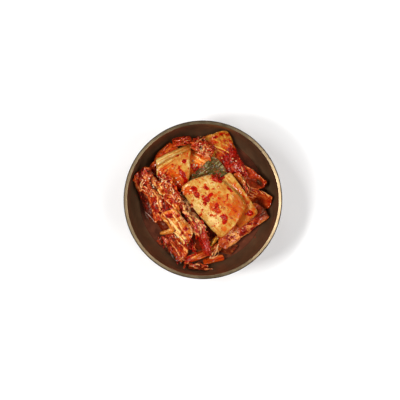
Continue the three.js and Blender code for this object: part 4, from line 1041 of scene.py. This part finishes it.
def lay_shreds():
    """Lays each patch's shreds over whatever lies there, each on top of those before it."""
    random = np.random.default_rng(41)
    strips = Strips()
    for x, y, length, width, heading, count, usual_reach, usual_width, stray, tone in SHRED_PATCHES:
        for _ in range(count):
            along, across = random.uniform(-0.5, 0.5, 2) * (length, width)
            turn = math.radians(heading)
            middle = np.array([x + along * math.cos(turn) - across * math.sin(turn),
                               y + along * math.sin(turn) + across * math.cos(turn)])
            way = turn + random.normal(0, stray)
            reach = usual_reach * random.uniform(0.7, 1.4)
            bend = random.normal(0, 0.1)
            steps = 3 + int(reach / 0.7)
            share = np.linspace(-0.5, 0.5, steps)
            angles = way + bend * reach * share + 0.3 * np.sin(7 * share + random.uniform(0, 6))
            moves = np.column_stack([np.cos(angles), np.sin(angles)]) * reach / steps
            flat = middle + np.cumsum(moves, axis=0) - moves.sum(axis=0) / 2
            distance = np.hypot(*flat.T)
            flat *= np.minimum(1, SHRED_LIMIT / distance)[:, None]
            thickness = random.uniform(0.7, 1.1)
            heights = heap.at(flat)
            # It bridges the dips under it.
            for _ in range(6):
                padded = np.pad(heights, 1, mode="edge")
                heights = np.maximum(heights, 0.5 * padded[:-2] + 0.5 * padded[2:]) * 0.5 + 0.5 * heights
            line = np.column_stack([flat, heights + 0.28 * thickness])
            taper = np.clip(np.minimum(share + 0.5, 0.5 - share) * 6 + 0.45, 0, 1)
            widths = usual_width * random.uniform(0.7, 1.3) * taper
            twist = random.normal(0, 0.3) + random.normal(0, 1.0) * share
            strips.add(line, widths, thickness, twist, tone + random.normal(0, 0.28))
            heap.cover(line + (0, 0, 0.4 * thickness))
    strips.dressed("shreds", shred_material(), "red_shred")


lay_shreds()

# Painted glints: thin pale threads laid on the brine's edge where it shines, from x, y to x, y.
PAINTED_GLINTS = [
    (-47.3, -9.6, -38.9, -17.8), (-48.2, -10.8, -44.2, -15.4), (-26.8, -42, -23.2, -47.7),
    (-26, -43.6, -24, -48.2), (-20.3, -49.9, -17.2, -52.2), (-22.6, -48.6, -19.8, -51.6),
]


def lay_painted_glints():
    """Lays the threads of painted glint on the brine, each a little curved and thin at its ends."""
    strips = Strips()
    share = np.linspace(0, 1, 14)
    for number, (x0, y0, x1, y1) in enumerate(PAINTED_GLINTS):
        sway = 0.21 * np.sin(4 * share + number)
        flat = np.column_stack([x0 + (x1 - x0) * share + sway, y0 + (y1 - y0) * share + sway])
        line = np.column_stack([flat, heap.at(flat) + 0.3])
        strips.add(line, 0.38 * np.sin(0.3 + 2.6 * share), 0.3, np.zeros(14), 1.0)
    material = clouded_material("painted_glints", 1.5, (196, 168, 140), (240, 228, 212), 0.4, 0.05,
                                Coat_Weight=0.6, Coat_Roughness=0.1)
    strips.dressed("painted_glints", material, "pale_stem")


lay_painted_glints()

# ---- chilli flakes and seeds

# Where flakes lie thickly: x, y, reach and how many. The rest are strewn over the whole heap.
FLAKE_SPOTS = [
    (11.4, 18.2, 4.4, 90), (-5.7, 4.3, 3.4, 14), (2.9, 0, 3.6, 16), (10.8, -7, 7, 34), (17, -15, 3.4, 12),
    (24, -8, 8, 20), (34.5, -10, 3, 6), (-16.5, 20.5, 4, 10), (-15, 30.5, 2.4, 4), (10, -4, 10, 12),
    (-22, 22, 12, 20), (2, 42, 9, 16), (28, 30, 10, 30), (12, 48, 10, 12), (-25, 8, 13, 26),
    (-45, 12, 12, 20), (-35, -8, 10, 14), (-22, -40, 10, 14), (0, -34, 9, 12), (32, -26, 14, 34),
    (50, 4, 8, 3), (42, 22, 8, 4), (-4, 28, 7, 12), (-30, 38, 8, 8), (-18, -24, 9, 10),
]
STREWN_FLAKES = 120
STREWN_REACH, FLAKE_LIMIT = 52.0, 55.0  # from the bowl's middle
# Pale crumbs of stem and garlic, some laid as painted highlight where the leaves glint: x, y, reach and
# how many.
CRUMB_AND_GLINT_SPOTS = [
    (-11, 7, 5, 8), (-32, 17, 6, 18), (-27, 11, 6, 12), (-23, 3, 6, 14), (-20, 12, 6, 8),
    (-46, 19, 6, 10), (-42, 8, 5, 6), (-36, -4, 6, 8), (0, 40, 6, 10), (-3, 27, 4, 5), (28, 30, 7, 8),
    (-22, -30, 6, 8), (30, -26, 8, 8),
]
SEEDS = 26
SLOPE_REACH = 0.6  # over which the heap's slope under a flake is taken


def place_on_heap(flat):
    """Points on the heap and its normals there."""
    offsets = SLOPE_REACH * np.array([(1, 0), (-1, 0), (0, 1), (0, -1)])
    east, west, north, south = (heap.at(flat + o) for o in offsets)
    slope = np.column_stack([west - east, south - north, np.full(len(flat), 2 * SLOPE_REACH)])
    slope[:, :2] = np.clip(slope[:, :2], -1.5, 1.5)
    height = (east + west + north + south) / 4
    height = np.maximum(height, heap.at(flat) - 0.3)
    return np.column_stack([flat, height]), slope / np.linalg.norm(slope, axis=1)[:, None]


def strewn(random, spots, strewn_count):
    """Places for flakes, some round the spots and some anywhere, where there is food."""
    near = [np.array([x, y]) + random.normal(0, reach / 2, (count, 2)) for x, y, reach, count in spots]
    turn = random.uniform(0, 2 * math.pi, strewn_count)
    far = STREWN_REACH * np.sqrt(random.uniform(0, 1, strewn_count))
    flat = np.vstack([*near, np.column_stack([far * np.cos(turn), far * np.sin(turn)])])
    on_food = heap.at(flat) > BRINE_LEVEL + 0.6
    inside = np.hypot(*flat.T) < FLAKE_LIMIT
    return flat[on_food & inside]


def scatter(name, flat, random, ring, sizes, thickness, material, slot):
    """Small irregular plates lying on the heap, joined into one mesh with a tone for each."""
    points, faces, tones = [], [], []
    for place, normal in zip(*place_on_heap(flat)):
        lean = normal + random.normal(0, 0.2, 3)
        lean /= np.linalg.norm(lean)
        side = np.cross(lean, random.normal(0, 1, 3))
        side /= np.linalg.norm(side)
        other = np.cross(lean, side)
        size = random.uniform(*sizes) / 2
        stretch = random.uniform(0.55, 1.0)
        curl = random.uniform(-0.2, 0.3) * size
        turns = 2 * math.pi * (np.arange(ring) + random.uniform(-0.25, 0.25, ring)) / ring
        reach = size * random.uniform(0.7, 1.15, ring)
        x, y = reach * np.cos(turns), reach * stretch * np.sin(turns)
        low, high = len(points) + ring, len(points) + 2 * ring + 1
        for lift in (-0.5, 0.5):
            z = (lift + 0.3) * thickness + curl * (x / size) ** 2
            points += list(place + np.outer(x, side) + np.outer(y, other) + np.outer(z, lean))
            points.append(place + lean * (1.6 * lift + 0.3) * thickness)
        for k in range(ring):
            a, b = low - ring + k, low - ring + (k + 1) % ring
            c, d = a + ring + 1, b + ring + 1
            faces += [(b, a, low), (c, d, high), (a, b, d, c)]
        tones += [random.uniform(0, 1)] * (2 * ring + 2)
    dress_toned(name, points, faces, tones, material, slot)


flake_random = np.random.default_rng(7)
flakes = toned_material("chilli_flakes", 0.6, 0.4, (150, 14, 5), (206, 54, 16), 0.3, 0.1,
                        Coat_Weight=0.6, Coat_Roughness=0.1, **soft(0.2, 0.3, 0.1, 0.8))
scatter("chilli_flakes", strewn(flake_random, FLAKE_SPOTS, STREWN_FLAKES), flake_random,
        6, (0.6, 1.7), 0.2, flakes, "red_shred")
crumb_random = np.random.default_rng(9)
# Pale crumbs, partly real bits and partly painted highlight.
crumbs_and_glints = toned_material("pale_crumbs_and_glints", 0.7, 0.5, (208, 96, 44), (240, 214, 170), 0.4, 0.08,
                        Coat_Weight=0.8, Coat_Roughness=0.08, **soft(0.3, 0.4, 0.15, 0.8))
scatter("pale_crumbs_and_glints", strewn(crumb_random, CRUMB_AND_GLINT_SPOTS, 0), crumb_random,
        8, (0.8, 1.9), 0.45, crumbs_and_glints, "pale_stem")
seed_random = np.random.default_rng(8)
seeds = clouded_material("chilli_seeds", 0.5, (206, 140, 66), (226, 176, 104), 0.4, 0.06,
                         Coat_Weight=0.5, Coat_Roughness=0.1)
scatter("chilli_seeds", strewn(seed_random, [], SEEDS), seed_random,
        9, (1.2, 1.6), 0.4, seeds, "pale_stem")

# ---- floor, light and camera

FLOOR_REACH = 3000.0
SKY_LIGHT = 0.42
SKY_AT_ZENITH = 0.2  # of the light at the sides

# Soft boxes: azimuth and height in degrees, width and depth in metres, and power in watts. The main
# light is the first, on the left.
SOFT_BOXES = [
    (194, 54, 0.22, 0.3, 7), (162, 62, 0.3, 0.13, 2.9), (270, 40, 0.3, 0.3, 0.3),
    (320, 50, 0.3, 0.3, 2.4), (0, 52, 0.4, 0.3, 3.2), (45, 56, 0.3, 0.3, 1.6), (100, 38, 0.3, 0.3, 1),
]
BOX_DISTANCE = 1.1
BOX_COLOUR = (1.0, 0.985, 0.96)


def make_floor():
    """A wide white table that ends only far out of view."""
    corners = [(x, y, 0) for x, y in ((-1, -1), (1, -1), (1, 1), (-1, 1))]
    mesh = mesh_from("floor_mesh", np.array(corners) * FLOOR_REACH, [(0, 1, 2, 3)])
    shader = Shader("white_table")
    shader.feed(Base_Color=(0.93, 0.94, 0.96, 1), Roughness=0.9, Specular_IOR_Level=0.1)
    mesh.materials.append(shader.material)
    placed("floor", mesh)


def make_soft_box(azimuth, height, width, depth, power):
    """An oblong soft box that shines on the bowl."""
    data = bpy.data.lights.new("soft_box", "AREA")
    data.shape = "RECTANGLE"
    data.size, data.size_y = width, depth
    data.energy = power
    data.color = BOX_COLOUR
    light = placed("soft_box", data)
    turn, tilt = math.radians(azimuth), math.radians(height)
    way = Vector((math.cos(turn) * math.cos(tilt), math.sin(turn) * math.cos(tilt), math.sin(tilt)))
    light.location = way * BOX_DISTANCE
    light.rotation_mode = "QUATERNION"
    light.rotation_quaternion = way.to_track_quat("Z", "Y")


def make_world():
    """A white studio, bright round the sides and dim straight above, where the camera hangs."""
    world = bpy.data.worlds.new("studio")
    world.use_nodes = True
    tree = world.node_tree
    way = add_node(tree, "TexCoord").outputs["Generated"]
    height = add_node(tree, "SeparateXYZ", {"Vector": way}).outputs["Z"]
    background = tree.nodes["Background"]
    strength = spread(tree, height, 0.3, 0.85, SKY_LIGHT, SKY_LIGHT * SKY_AT_ZENITH)
    feed(background.inputs["Strength"], strength)
    feed(background.inputs["Color"], (1, 1, 1, 1))
    bpy.context.scene.world = world


def make_camera():
    """Straight above the bowl, framed so that the bowl has its place and size in the photograph."""
    scale = 2 * RIM_RADIUS / BOWL_DIAMETER  # millimetres a pixel at the rim
    height = LENS * scale * IMAGE_WIDTH / SENSOR + BOWL_HEIGHT
    x = -(BOWL_CENTRE[0] - IMAGE_WIDTH / 2) * scale
    y = (BOWL_CENTRE[1] - IMAGE_WIDTH / 2) * scale
    data = bpy.data.cameras.new("camera")
    data.lens = LENS
    data.sensor_width = SENSOR
    data.clip_end = 10.0
    camera = placed("camera", data)
    camera.location = (x * MM, y * MM, height * MM)
    bpy.context.scene.camera = camera


make_floor()
for soft_box in SOFT_BOXES:
    make_soft_box(*soft_box)
make_world()
make_camera()
bpy.context.scene.view_settings.view_transform = "Standard"
